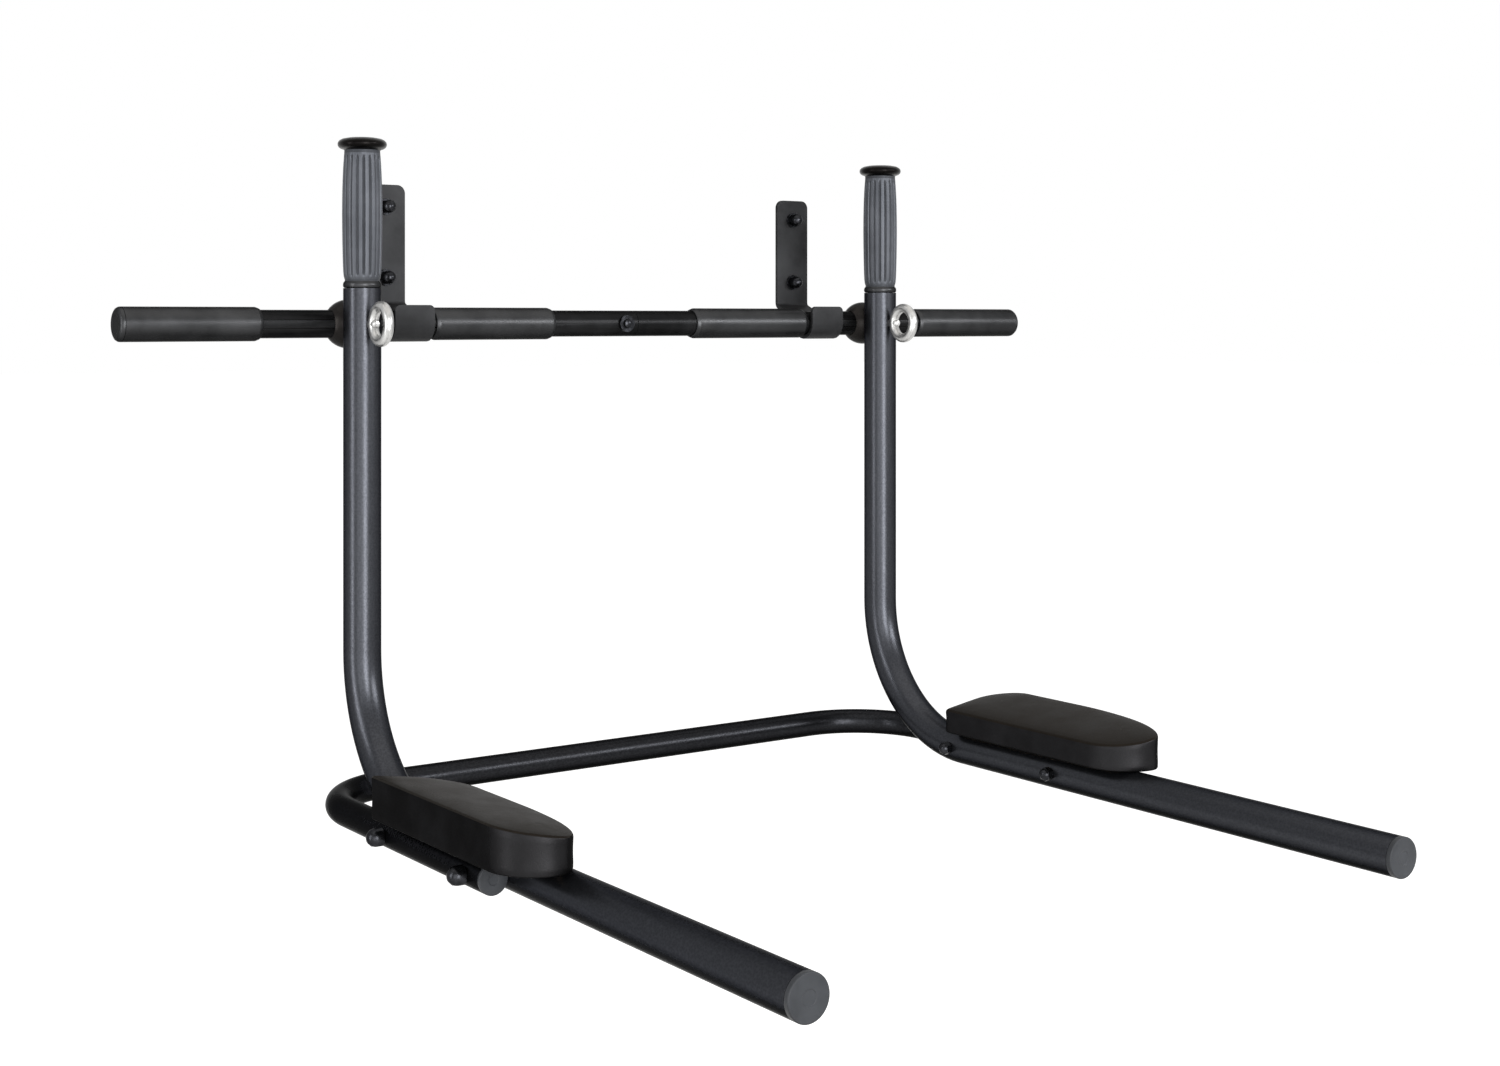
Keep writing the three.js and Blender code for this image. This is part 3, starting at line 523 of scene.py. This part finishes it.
def drilled(piece, holes):
    """Cuts round holes of (start, end, radius) through a piece."""
    for start, end, radius in holes:
        length = (end - start).length
        places, faces = lathe([(0, 0), (radius, 0), (radius, length), (0, length)],
                              start, (end - start).normalized(), HOLE_SIDES)
        cutter = placed("cutter", closed_mesh("cutter", places, faces))
        modifier = piece.modifiers.new("hole", "BOOLEAN")
        modifier.operation = "DIFFERENCE"
        modifier.solver = "EXACT"
        modifier.object = cutter
        applied(piece, modifier)
        bpy.data.objects.remove(cutter)
    return piece


# Dip tubes and rear frame

TUBE_EDGE = 0.0004
HOLE_REACH = 0.03


def dip_tube(name):
    low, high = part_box(f"dip_tube_{name}")
    x = (low.x + high.x) / 2
    post_y = high.y - HEAVY_RADIUS
    dip_z = low.z + HEAVY_RADIUS
    down, forward = -Z_AXIS, -Y_AXIS
    centre = Vector((x, post_y - BEND_RADIUS, dip_z + BEND_RADIUS))
    path = [(Vector((x, post_y, high.z)), down)]
    path += bend(centre, down, forward, BEND_RADIUS)
    path.append((Vector((x, low.y, dip_z)), forward))
    places, faces = swept_tube(path, X_AXIS, HEAVY_RADIUS, HEAVY_BORE)
    tube = made_piece(f"fine_dip_tube_{name}", "post_paint", "frame", places, faces, TUBE_EDGE)
    holes = []
    for reach in SCREW_PLACES:
        foot = Vector((x, post_y - reach, dip_z))
        holes.append((foot - HOLE_REACH * Z_AXIS, foot, DRIVER_HOLE_RADIUS))
    return drilled(tube, holes)


def rear_frame():
    low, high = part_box("rear_frame")
    z = (low.z + high.z) / 2
    left, right = low.x + THIN_RADIUS, high.x - THIN_RADIUS
    corner_y = high.y - THIN_RADIUS - CORNER_RADIUS
    left_corner = Vector((left + CORNER_RADIUS, corner_y, z))
    right_corner = Vector((right - CORNER_RADIUS, corner_y, z))
    path = [(Vector((left, low.y, z)), Y_AXIS)]
    path += bend(left_corner, Y_AXIS, X_AXIS, CORNER_RADIUS)
    path += bend(right_corner, X_AXIS, -Y_AXIS, CORNER_RADIUS)
    path.append((Vector((right, low.y, z)), -Y_AXIS))
    places, faces = swept_tube(path, Z_AXIS, THIN_RADIUS, THIN_BORE)
    frame_tube = made_piece("fine_rear_frame", "post_paint", "frame", places, faces, TUBE_EDGE)
    # A darker copy of the post paint, as painted shade
    return finished(frame_tube, "frame_paint")


rear_frame()
for name in SIDES:
    dip_tube(name)


# Post grips: a bead at the foot, a swelling fluted body, a domed flange

# Radius and height of each row, up the outside and down the bore
GRIP_ROWS = (
    (0.01455, 0.0), (0.0176, 0.0), (0.0186, 0.0006), (0.0191, 0.0018), (0.0192, 0.0030),
    (0.0190, 0.0046), (0.0183, 0.0060), (0.0175, 0.0068), (0.0173, 0.0076), (0.0174, 0.0086),
    (0.0178, 0.0096), (0.0182, 0.0110), (0.0185, 0.0130), (0.0188, 0.0160), (0.0191, 0.0220),
    (0.0194, 0.0320), (0.0197, 0.0460), (0.0199, 0.0600), (0.0200, 0.0740), (0.0199, 0.0880),
    (0.0197, 0.1000), (0.0194, 0.1100), (0.0190, 0.1190), (0.0186, 0.1260), (0.0183, 0.1300),
    (0.0181, 0.1330), (0.0179, 0.1355), (0.0178, 0.1375), (0.0178, 0.1386), (0.0190, 0.1393),
    (0.0214, 0.1401), (0.0233, 0.1414), (0.0243, 0.1432), (0.0245, 0.1450), (0.0240, 0.1467),
    (0.0226, 0.1484), (0.0196, 0.1500), (0.0140, 0.1511), (0.0070, 0.1516), (0.0, 0.1517),
    (0.0, 0.1400), (0.01455, 0.1400),
)
GRIP_ROW_STEP = 0.003
GRIP_FLUTES = 18
FLUTE_SIDES = 12
FLUTE_DEPTH = 0.0016
FLUTE_HALF_WIDTH = 0.25
FLUTE_FOOT = 0.0100
FLUTE_HEAD = 0.1345
FLUTE_TAPER = 0.006
FLUTE_LEAST_RADIUS = 0.016

# Where the grip's materials end, and the slots they have
BEAD_TOP = 0.0068
FLANGE_FOOT = 0.1382
# Share of each flute, about its groove, that gets the painted shade
GROOVE_SHARE = 0.13
GROOVE_MARGIN = 0.002
BAND_MARGIN = 0.001
GRIP_EXTRAS = ("flange_rubber", "bar_rubber", "groove_rubber")
BODY, FLANGE, BEAD, GROOVE = range(4)


def eased(value):
    value = min(max(value, 0.0), 1.0)
    return value * value * (3 - 2 * value)


def grip_rows():
    """The grip's rows, closer together where it is fluted."""
    rows = []
    for (radius, height), (next_radius, next_height) in zip(GRIP_ROWS, GRIP_ROWS[1:]):
        rows.append((radius, height))
        rise = next_height - height
        if FLUTE_FOOT <= height < FLUTE_HEAD and rise > GRIP_ROW_STEP:
            steps = math.ceil(rise / GRIP_ROW_STEP)
            for step in range(1, steps):
                share = step / steps
                rows.append((radius + share * (next_radius - radius), height + share * rise))
    return rows + [GRIP_ROWS[-1]]


def grip_material(height, flute):
    """The material slot at a height, and at a place counted in flutes around the grip."""
    if height > FLANGE_FOOT:
        return FLANGE
    if height < BEAD_TOP:
        return BEAD
    fluted = FLUTE_FOOT + GROOVE_MARGIN < height < FLUTE_HEAD - GROOVE_MARGIN
    band = height > FLUTE_HEAD + BAND_MARGIN or height < FLUTE_FOOT - BAND_MARGIN
    # The painted shade goes in the grooves and in the bands next to the bead and the flange
    return GROOVE if band or fluted and abs(flute % 1 - 0.5) < GROOVE_SHARE else BODY


def post_grip(name):
    low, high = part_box(f"post_grip_{name}")
    x, y = (low.x + high.x) / 2, (low.y + high.y) / 2
    rows = grip_rows()
    sides = GRIP_FLUTES * FLUTE_SIDES
    places = []
    outside = True
    for radius, height in rows:
        outside = outside and radius > 0
        head, foot = FLUTE_HEAD - height, height - FLUTE_FOOT
        ends = eased(foot / FLUTE_TAPER) * eased(head / FLUTE_TAPER)
        depth = FLUTE_DEPTH * ends if outside and radius > FLUTE_LEAST_RADIUS else 0
        for step, turn in enumerate(turns(sides)):
            share = (step % FLUTE_SIDES) / FLUTE_SIDES
            groove = max(0.0, 1 - (abs(share - 0.5) / FLUTE_HALF_WIDTH) ** 2)
            size = radius - depth * groove
            places.append((x + size * math.cos(turn), y + size * math.sin(turn), low.z + height))
    grip = made_piece(f"fine_post_grip_{name}", "grip_rubber", "frame", places,
                      ring_faces(len(rows), sides, closed_along=True))
    for finish in GRIP_EXTRAS:
        grip.data.materials.append(FINISHES[finish])
    for face in grip.data.polygons:
        turn = math.atan2(face.center.y - y, face.center.x - x)
        flute = turn / (2 * math.pi) * GRIP_FLUTES
        face.material_index = grip_material(face.center.z - low.z, flute)
    return grip


# Pull bar sleeves and caps

SLEEVE_LIP = 0.0015
SLEEVE_LIP_ROUNDING = 0.0012
SLEEVE_TAPER = 0.004
SLEEVE_TAPER_ROUNDING = 0.003
BAR_CAP_THICKNESS = 0.005
BAR_CAP_ROUNDING = 0.0044
BAR_PLUG_ROUNDING = 0.0008
RIM_ROUNDING = 0.0003
# Radius, depth and rounding around the dimple in the bar cap's face
BAR_CAP_DIMPLE = ((0.010, 0.0002, 0.002), (0.0085, 0.0006, 0.001))


def bar_sleeve(name, mouth_side):
    """A sleeve with tapered ends. On its mouth side, if it has one, it ends plain against a cap."""
    low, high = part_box(name)
    middle = (low + high) / 2
    radius = (high.z - low.z) / 2
    half = (high.x - low.x) / 2
    bore = THIN_RADIUS + FIT_GAP
    lip = radius - SLEEVE_LIP
    points = [(bore, -half), (lip, -half, SLEEVE_LIP_ROUNDING),
              (radius, -half + SLEEVE_TAPER, SLEEVE_TAPER_ROUNDING)]
    if mouth_side:
        points += [(radius, half), (bore, half)]
    else:
        points += [(radius, half - SLEEVE_TAPER, SLEEVE_TAPER_ROUNDING),
                   (lip, half, SLEEVE_LIP_ROUNDING), (bore, half)]
    places, faces = lathe(rounded(points), middle, X_AXIS if mouth_side >= 0 else -X_AXIS)
    return made_piece(f"fine_{name}", "bar_rubber", "bar_sleeves", places, faces)


def bar_cap(name, side):
    low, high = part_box(f"bar_cap_{name}")
    middle = (low + high) / 2
    radius = (high.z - low.z) / 2
    outer = high.x if side > 0 else -low.x
    inner = low.x if side > 0 else -high.x
    face = outer - BAR_CAP_THICKNESS
    plug = THIN_BORE - PLUG_GAP
    points = [(0, inner), (plug, inner, BAR_PLUG_ROUNDING), (plug, face),
              (radius, face, RIM_ROUNDING), (radius, outer, BAR_CAP_ROUNDING)]
    for size, depth, rounding in BAR_CAP_DIMPLE:
        points.append((size, outer - depth, rounding))
    points.append((0, outer - BAR_CAP_DIMPLE[-1][1]))
    places, faces = lathe(rounded(points), Vector((0, middle.y, middle.z)), side * X_AXIS)
    return made_piece(f"fine_bar_cap_{name}", "bar_rubber", "bar_sleeves", places, faces)


# Plug-in caps of the dip bars and the frame's arms

DIP_CAP_THICKNESS = 0.005
DIP_CAP_ROUNDING = 0.0010
ARM_CAP_THICKNESS = 0.003
ARM_CAP_ROUNDING = 0.0008
PLUG_TAPER = 0.0008
PLUG_TAPER_LENGTH = 0.003
PLUG_TAPER_ROUNDING = 0.0006
# Share of the radius, depth and rounding around the dimple in the cap's face
END_CAP_DIMPLE = ((0.35, 0, 0.001), (0.33, 0.0004, 0.0003))


def end_cap(name, radius, bore, thickness, rounding):
    low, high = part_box(name)
    middle = (low + high) / 2
    length = high.y - low.y
    face = length - thickness
    plug = bore - PLUG_GAP
    points = [(0, 0), (plug - PLUG_TAPER, 0, PLUG_TAPER_ROUNDING), (plug, PLUG_TAPER_LENGTH),
              (plug, face), (radius, face, RIM_ROUNDING), (radius, length, rounding)]
    for share, depth, dimple_rounding in END_CAP_DIMPLE:
        points.append((share * radius, length - depth, dimple_rounding))
    points.append((0, length - END_CAP_DIMPLE[-1][1]))
    places, faces = lathe(rounded(points), Vector((middle.x, high.y, middle.z)), -Y_AXIS)
    return made_piece(f"fine_{name}", "cap_plastic", "frame", places, faces)


# Ball hubs: a ball with a flat back, hollowed for the bar and the post

HUB_TO_BACK = 0.0225
HUB_STEPS = 24
HUB_SIDES = 48
HUB_EDGE = 0.0006


def ball_hub(name):
    low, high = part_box(f"ball_hub_{name}")
    radius = (high.z - low.z) / 2
    centre = Vector(((low.x + high.x) / 2, high.y - HUB_TO_BACK, (low.z + high.z) / 2))
    flat = math.asin(HUB_TO_BACK / radius)
    profile = [(0, HUB_TO_BACK)]
    for step in range(HUB_STEPS + 1):
        turn = flat + (-math.pi / 2 - flat) * step / HUB_STEPS
        profile.append((radius * math.cos(turn), radius * math.sin(turn)))
    profile[-1] = (0, -radius)
    places, faces = lathe(profile, centre, Y_AXIS, HUB_SIDES)
    hub = made_piece(f"fine_ball_hub_{name}", "hub_plastic", "frame", places, faces, HUB_EDGE)
    reach, rise = HOLE_REACH * X_AXIS, HOLE_REACH * Z_AXIS
    post = centre - BAR_TO_POST * Y_AXIS
    return drilled(hub, [(centre - reach, centre + reach, THIN_RADIUS + FIT_GAP),
                         (post - rise, post + rise, HEAVY_RADIUS + FIT_GAP)])


# Eye bolts: a forged ring with a collar, a shank and a threaded end

EYE_RING_RADIUS = 0.0175
EYE_WIRE_RADIUS = 0.0053
EYE_RING_STEPS = 72
EYE_WIRE_SIDES = 24
EYE_SHANK_RADIUS = 0.004
EYE_SHANK_SIDES = 32
# How deep in the wire the collar starts, and its rows of radius and height from there
EYE_COLLAR_SINK = 0.003
EYE_COLLAR_ROWS = (
    (0, 0), (0.0030, 0.0004), (0.0044, 0.0026), (0.0046, 0.0050), (0.0046, 0.0155),
    (EYE_SHANK_RADIUS, 0.0175),
)
THREAD_LENGTH = 0.014
THREAD_PITCH = 0.0012
THREAD_DEPTH = 0.0004
THREAD_END = 0.0016
TIP_CHAMFER = 0.0010


def eye_ring(centre):
    places = []
    for turn in turns(EYE_RING_STEPS):
        spoke = math.cos(turn) * Y_AXIS + math.sin(turn) * Z_AXIS
        for lean in turns(EYE_WIRE_SIDES):
            offset = math.cos(lean) * spoke + math.sin(lean) * X_AXIS
            places.append(centre + EYE_RING_RADIUS * spoke + EYE_WIRE_RADIUS * offset)
    return places, ring_faces(EYE_RING_STEPS, EYE_WIRE_SIDES, closed_along=True)


def eye_shank(centre, end):
    """Collar, shank and thread, up to an end measured from the ring's centre."""
    start = EYE_RING_RADIUS - EYE_WIRE_RADIUS - EYE_COLLAR_SINK
    root = EYE_SHANK_RADIUS - THREAD_DEPTH
    profile = [(radius, start + height) for radius, height in EYE_COLLAR_ROWS]
    height = end - THREAD_LENGTH
    while height < end - THREAD_END:
        profile += [(EYE_SHANK_RADIUS, height), (root, height + THREAD_PITCH / 2)]
        height += THREAD_PITCH
    profile += [(root, end - THREAD_PITCH / 2), (EYE_SHANK_RADIUS - TIP_CHAMFER, end), (0, end)]
    return lathe(profile, centre, Y_AXIS, EYE_SHANK_SIDES)


def eye_bolt(name):
    low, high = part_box(f"eye_bolt_{name}")
    ring_y = low.y + EYE_RING_RADIUS + EYE_WIRE_RADIUS
    centre = Vector(((low.x + high.x) / 2, ring_y, (low.z + high.z) / 2))
    places, faces = eye_ring(centre)
    shank_places, shank_faces = eye_shank(centre, high.y - ring_y)
    offset = len(places)
    places += shank_places
    faces += [tuple(index + offset for index in face) for face in shank_faces]
    return made_piece(f"fine_eye_bolt_{name}", "bright_steel", "frame", places, faces)


for name, side in SIDES.items():
    post_grip(name)
    bar_sleeve(f"inner_grip_{name}", 0)
    bar_sleeve(f"outer_grip_{name}", side)
    bar_cap(name, side)
    end_cap(f"dip_cap_{name}", HEAVY_RADIUS, HEAVY_BORE, DIP_CAP_THICKNESS, DIP_CAP_ROUNDING)
    end_cap(f"arm_cap_{name}", THIN_RADIUS, THIN_BORE, ARM_CAP_THICKNESS, ARM_CAP_ROUNDING)
    ball_hub(name)
    eye_bolt(name)


# Arm pads: a stuffed cover over a foam wedge, its foot held by the board

# The plan, the same as the part's
PAD_INNER_EDGE = 0.029
PAD_OUTER_EDGE = 0.062
PAD_HALF_WIDTH = (PAD_INNER_EDGE + PAD_OUTER_EDGE) / 2
PAD_SHORT_NOSE = 0.050
PAD_LONG_NOSE = 0.150
PAD_TIGHT_CORNER = 0.005
PAD_WIDE_CORNER = 0.046
PAD_PLAN_STEP = 0.005

# Heights, and the share of the half width at which the rows end in a narrow middle face
PAD_INNER_TOP = 0.0455
PAD_OUTER_TOP = 0.0605
PAD_INNER_HEIGHT = 0.0262
PAD_CROWN = 0.0018
PAD_SPINE_SHARE = 0.97

# Rows of the cover. Foot rows: how far they are drawn in, and their height. Sides: how much of
# the height they have climbed. Shoulder: how far drawn in, and how far below the top. Crown: how
# much of the half width they are drawn in.
PAD_FOOT_ROWS = (
    (BOARD_INSET, 0.0), (0.0060, 0.0), (0.0026, 0.0), (0.0012, 0.0006), (0.0004, 0.0018),
)
PAD_SIDE_SHARES = (0.14, 0.28, 0.42, 0.56, 0.70, 0.84)
PAD_SIDE_PULL = 0.0006
PAD_SIDE_MARGIN = 0.003
PAD_SHOULDER_ROWS = (
    (0.0001, 0.0030), (0.0004, 0.0017), (0.0011, 0.0007), (0.0022, 0.0001), (0.0034, 0.0),
)
PAD_CROWN_SHARES = (0.14, 0.22, 0.31, 0.41, 0.52, 0.64, 0.76, 0.88)
# Faces that point less upwards than this get the side copy of the cover, as painted shade
PAD_SIDE_SHADE_FACING = 0.5

# The stuffing: what holds the cover, and how much of its swelling is kept
PAD_HELD_HEIGHT = 0.002
PAD_SIDE_FACING = 0.3
PAD_SIDE_HOLD = 0.9
PAD_PRESSURE = 4
PAD_FRAMES = 20
PAD_SWELLING = 0.0014
PAD_EVENING = 8


def arc(centre, reach, start, steps):
    """A quarter of an ellipse from a start angle in degrees."""
    out = []
    for step in range(steps + 1):
        turn = math.radians(start + 90 * step / steps)
        out.append(Vector((centre[0] + reach[0] * math.cos(turn),
                           centre[1] + reach[1] * math.sin(turn))))
    return out


def pad_plan(middle, rear, nose):
    """The pad's outline from above, with corners at even distances."""
    half, short, long = PAD_HALF_WIDTH, PAD_SHORT_NOSE, PAD_LONG_NOSE
    wide, tight = PAD_WIDE_CORNER, PAD_TIGHT_CORNER
    near, far = middle - half, middle + half
    corners = [
        *arc((far - wide, rear - wide), (wide, wide), start=0, steps=16),
        *arc((near + tight, rear - tight), (tight, tight), start=90, steps=5),
        *arc((middle, nose + short), (half, short), start=180, steps=18),
        *arc((middle, nose + long), (half, long), start=270, steps=34)[1:],
    ]
    even = []
    for start, end in zip(corners, corners[1:] + corners[:1]):
        steps = max(1, round((end - start).length / PAD_PLAN_STEP))
        even += [start.lerp(end, step / steps) for step in range(steps)]
    return even


def with_short_edges(mesh, corners):
    """Cuts the top's middle face across. Long thin cuts would leave a crease as it swells."""
    shape = bmesh.new()
    shape.from_mesh(mesh)
    middle = [face for face in shape.faces if len(face.verts) == corners and face.normal.z > 0]
    bmesh.ops.triangulate(shape, faces=middle, ngon_method="BEAUTY")
    shape.to_mesh(mesh)
    shape.free()


def pad_cushion(name, side):
    low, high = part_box(f"pad_cushion_{name}")
    middle = (low.x + high.x) / 2
    foot = low.z
    slope = (PAD_OUTER_TOP - PAD_INNER_TOP) / (2 * PAD_HALF_WIDTH)
    inner_top = foot + PAD_INNER_HEIGHT
    plan = pad_plan(middle, high.y, low.y)
    spine_rear, spine_nose = high.y - PAD_HALF_WIDTH, low.y + PAD_HALF_WIDTH
    rows = []

    def top(x):
        return inner_top + slope * (side * (x - middle) + PAD_HALF_WIDTH)

    def add_row(inset, height_at):
        """The plan drawn in towards the spine, at the height that height_at gives for its x."""
        for place in plan:
            along = min(max(place.y, spine_nose), spine_rear)
            drawn = place.lerp(Vector((middle, along)), inset / PAD_HALF_WIDTH)
            rows.append(Vector((drawn.x, drawn.y, height_at(drawn.x))))

    for inset, rise in PAD_FOOT_ROWS:
        add_row(inset, lambda x: foot + rise)
    for share in PAD_SIDE_SHARES:
        add_row(PAD_SIDE_PULL * math.sin(math.pi * share),
                lambda x: foot + PAD_SIDE_MARGIN + share * (top(x) - foot - 2 * PAD_SIDE_MARGIN))
    for inset, drop in PAD_SHOULDER_ROWS:
        add_row(inset, lambda x: top(x) - drop)
    for share in PAD_CROWN_SHARES:
        rise = PAD_CROWN * (1 - (1 - share) ** 2)
        add_row(share * PAD_HALF_WIDTH, lambda x: top(x) + rise)
    add_row(PAD_SPINE_SHARE * PAD_HALF_WIDTH, lambda x: top(x) + PAD_CROWN)

    corners = len(plan)
    faces = ring_faces(len(rows) // corners, corners)
    faces.append(tuple(range(corners)))
    faces.append(tuple(range(len(rows) - corners, len(rows))))
    pad = made_piece(f"fine_pad_cushion_{name}", "pad_cover", "frame", rows, faces)
    with_short_edges(pad.data, corners)
    # The sides get the darker copy of the cover: painted shade
    pad.data.materials.append(FINISHES["pad_border"])
    for face in pad.data.polygons:
        if face.normal.z < PAD_SIDE_SHADE_FACING:
            face.material_index = 1
    return pad


def hold_cover(pad):
    """A cloth modifier under pressure, with the foot held and the sides nearly held."""
    foot = min(vertex.co.z for vertex in pad.data.vertices)
    held = pad.vertex_groups.new(name="held")
    for vertex in pad.data.vertices:
        if vertex.co.z < foot + PAD_HELD_HEIGHT:
            held.add([vertex.index], 1, "REPLACE")
        elif vertex.normal.z < PAD_SIDE_FACING:
            held.add([vertex.index], PAD_SIDE_HOLD, "REPLACE")
    cloth = pad.modifiers.new("stuffing", "CLOTH")
    pad.modifiers.move(len(pad.modifiers) - 1, 0)
    cloth.settings.vertex_group_mass = "held"
    cloth.settings.use_pressure = True
    cloth.settings.uniform_pressure_force = PAD_PRESSURE
    cloth.settings.effector_weights.gravity = 0
    cloth.point_cache.frame_start = 1
    cloth.point_cache.frame_end = PAD_FRAMES


def evened(moves, edges):
    """Spreads each vertex's move over its neighbours."""
    for _ in range(PAD_EVENING):
        sums = [move.copy() for move in moves]
        counts = [1] * len(moves)
        for start, end in edges:
            sums[start] += moves[end]
            sums[end] += moves[start]
            counts[start] += 1
            counts[end] += 1
        moves = [total / count for total, count in zip(sums, counts)]
    return moves


def stuffed(pads):
    """Blows the covers up as cloth and keeps a small part of the swelling."""
    scene = bpy.context.scene
    flat = {pad: [vertex.co.copy() for vertex in pad.data.vertices] for pad in pads}
    for pad in pads:
        hold_cover(pad)
    for step in range(1, PAD_FRAMES + 1):
        scene.frame_set(step)
    for pad in pads:
        with bpy.context.temp_override(object=pad, active_object=pad, selected_objects=[pad]):
            bpy.ops.object.modifier_apply(modifier="stuffing")
        pad.vertex_groups.clear()
        moves = []
        for vertex, start in zip(pad.data.vertices, flat[pad]):
            sideways = 1 - max(0, vertex.normal.z)
            move = (vertex.co - start) * Vector((sideways, sideways, 1))
            moves.append(move * PAD_SWELLING / (PAD_SWELLING + move.length))
        moves = evened(moves, [tuple(edge.vertices) for edge in pad.data.edges])
        for vertex, start, move in zip(pad.data.vertices, flat[pad], moves):
            vertex.co = start + move
    scene.frame_set(1)


pads = [pad_cushion(name, side) for name, side in SIDES.items()]
stuffed(pads)


# Camera at the photo's place, level, with the horizon above the middle of the picture

CAMERA_PLACE = (-1.2289, -2.0291, -0.08053)
CAMERA_HEADING = -35.304
CAMERA_SHIFT = -0.1433
CAMERA_LENS_MM = 50
CAMERA_PICTURE_MM = 36

camera_data = bpy.data.cameras.new("photo_camera")
camera_data.lens = CAMERA_LENS_MM
camera_data.sensor_width = CAMERA_PICTURE_MM
camera_data.shift_y = CAMERA_SHIFT
camera = placed("photo_camera", camera_data)
camera.location = CAMERA_PLACE
camera.rotation_euler = Euler((math.radians(90), 0, math.radians(CAMERA_HEADING)))
bpy.context.scene.camera = camera


# Soft studio light

OBJECT_MIDDLE = (0, -0.3, -0.3)
NEUTRAL = (1, 1, 1)
WARM = (1.0, 0.95, 0.88)

# Name, place, what it faces, width, height, watts, colour
LAMPS = (
    ("front_strip", (-1.00, -7.00, -0.10), OBJECT_MIDDLE, 2.1, 4.8, 520, NEUTRAL),
    ("left_strip", (-3.14, -0.30, -0.10), OBJECT_MIDDLE, 0.55, 2.4, 56, NEUTRAL),
    ("front_softbox", (-2.45, -3.75, -0.10), OBJECT_MIDDLE, 4.2, 2.8, 112, NEUTRAL),
    ("right_strip", (1.85, -2.91, 0.70), (0, -0.1, -0.1), 1.6, 0.5, 66, NEUTRAL),
    ("top_softbox", (0.0, -0.6, 2.6), (0, -0.5, -0.3), 5.0, 4.0, 62, WARM),
)

for name, place, aim, width, height, power, colour in LAMPS:
    data = bpy.data.lights.new(name, "AREA")
    data.shape = "RECTANGLE"
    data.size = width
    data.size_y = height
    data.energy = power
    data.color = colour
    lamp = placed(name, data)
    lamp.location = place
    lamp.rotation_euler = (Vector(aim) - Vector(place)).to_track_quat("-Z", "Y").to_euler()


# White background, also in gloss, and a pale floor that keeps the shadow

BACKGROUND_WHITE = (1, 1, 1, 1)
SURROUNDING_LIGHT = 0.12
FLOOR_HEIGHT = -1.75
FLOOR_REACH = 60
FLOOR_COLOUR = (0.78, 0.77, 0.75, 1)
FLOOR_ROUGHNESS = 0.9
# The floor's glow is weaker near the object, and full from the end distance on
FLOOR_GLOW_NEAR = 0.45
FLOOR_GLOW_START = 0.8
FLOOR_GLOW_END = 2.1


def background_share(tree):
    """One where the background is seen directly, in gloss or through glass, else nothing."""
    rays = tree.nodes.new("ShaderNodeLightPath").outputs
    seen = combined(tree, "MAXIMUM", rays["Is Camera Ray"], rays["Is Glossy Ray"])
    return combined(tree, "MAXIMUM", seen, rays["Is Transmission Ray"])


def white_world():
    world = bpy.data.worlds.new("studio")
    world.use_nodes = True
    bpy.context.scene.world = world
    tree = world.node_tree
    light = with_values(tree.nodes["Background"],
                        Color=BACKGROUND_WHITE, Strength=SURROUNDING_LIGHT)
    white = with_values(tree.nodes.new("ShaderNodeBackground"), Color=BACKGROUND_WHITE)
    mix = tree.nodes.new("ShaderNodeMixShader")
    tree.links.new(background_share(tree), mix.inputs["Fac"])
    tree.links.new(light.outputs["Background"], mix.inputs[1])
    tree.links.new(white.outputs["Background"], mix.inputs[2])
    tree.links.new(mix.outputs["Shader"], tree.nodes["World Output"].inputs["Surface"])


def floor_material():
    material = bpy.data.materials.new("floor")
    material.use_nodes = True
    tree = material.node_tree
    matt = with_values(tree.nodes["Principled BSDF"], Base_Color=FLOOR_COLOUR,
                       Roughness=FLOOR_ROUGHNESS, Specular_IOR_Level=0)
    distance = tree.nodes.new("ShaderNodeVectorMath")
    distance.operation = "LENGTH"
    place = tree.nodes.new("ShaderNodeTexCoord").outputs["Object"]
    tree.links.new(place, distance.inputs[0])
    strength = with_values(tree.nodes.new("ShaderNodeMapRange"), From_Min=FLOOR_GLOW_START,
                           From_Max=FLOOR_GLOW_END, To_Min=FLOOR_GLOW_NEAR, To_Max=1)
    tree.links.new(distance.outputs["Value"], strength.inputs["Value"])
    share = combined(tree, "MULTIPLY", background_share(tree), strength.outputs["Result"])
    glow = tree.nodes.new("ShaderNodeEmission")
    tree.links.new(share, glow.inputs["Strength"])
    both = tree.nodes.new("ShaderNodeAddShader")
    tree.links.new(matt.outputs["BSDF"], both.inputs[0])
    tree.links.new(glow.outputs["Emission"], both.inputs[1])
    tree.links.new(both.outputs["Shader"], tree.nodes["Material Output"].inputs["Surface"])
    return material


def pale_floor():
    mesh = bpy.data.meshes.new("floor")
    square = ((-1, -1), (1, -1), (1, 1), (-1, 1))
    corners = [(x * FLOOR_REACH, y * FLOOR_REACH, FLOOR_HEIGHT) for x, y in square]
    mesh.from_pydata(corners, [], [(0, 1, 2, 3)])
    mesh.materials.append(floor_material())
    floor = placed("floor", mesh)


white_world()
pale_floor()

bpy.context.scene.view_settings.view_transform = "Standard"
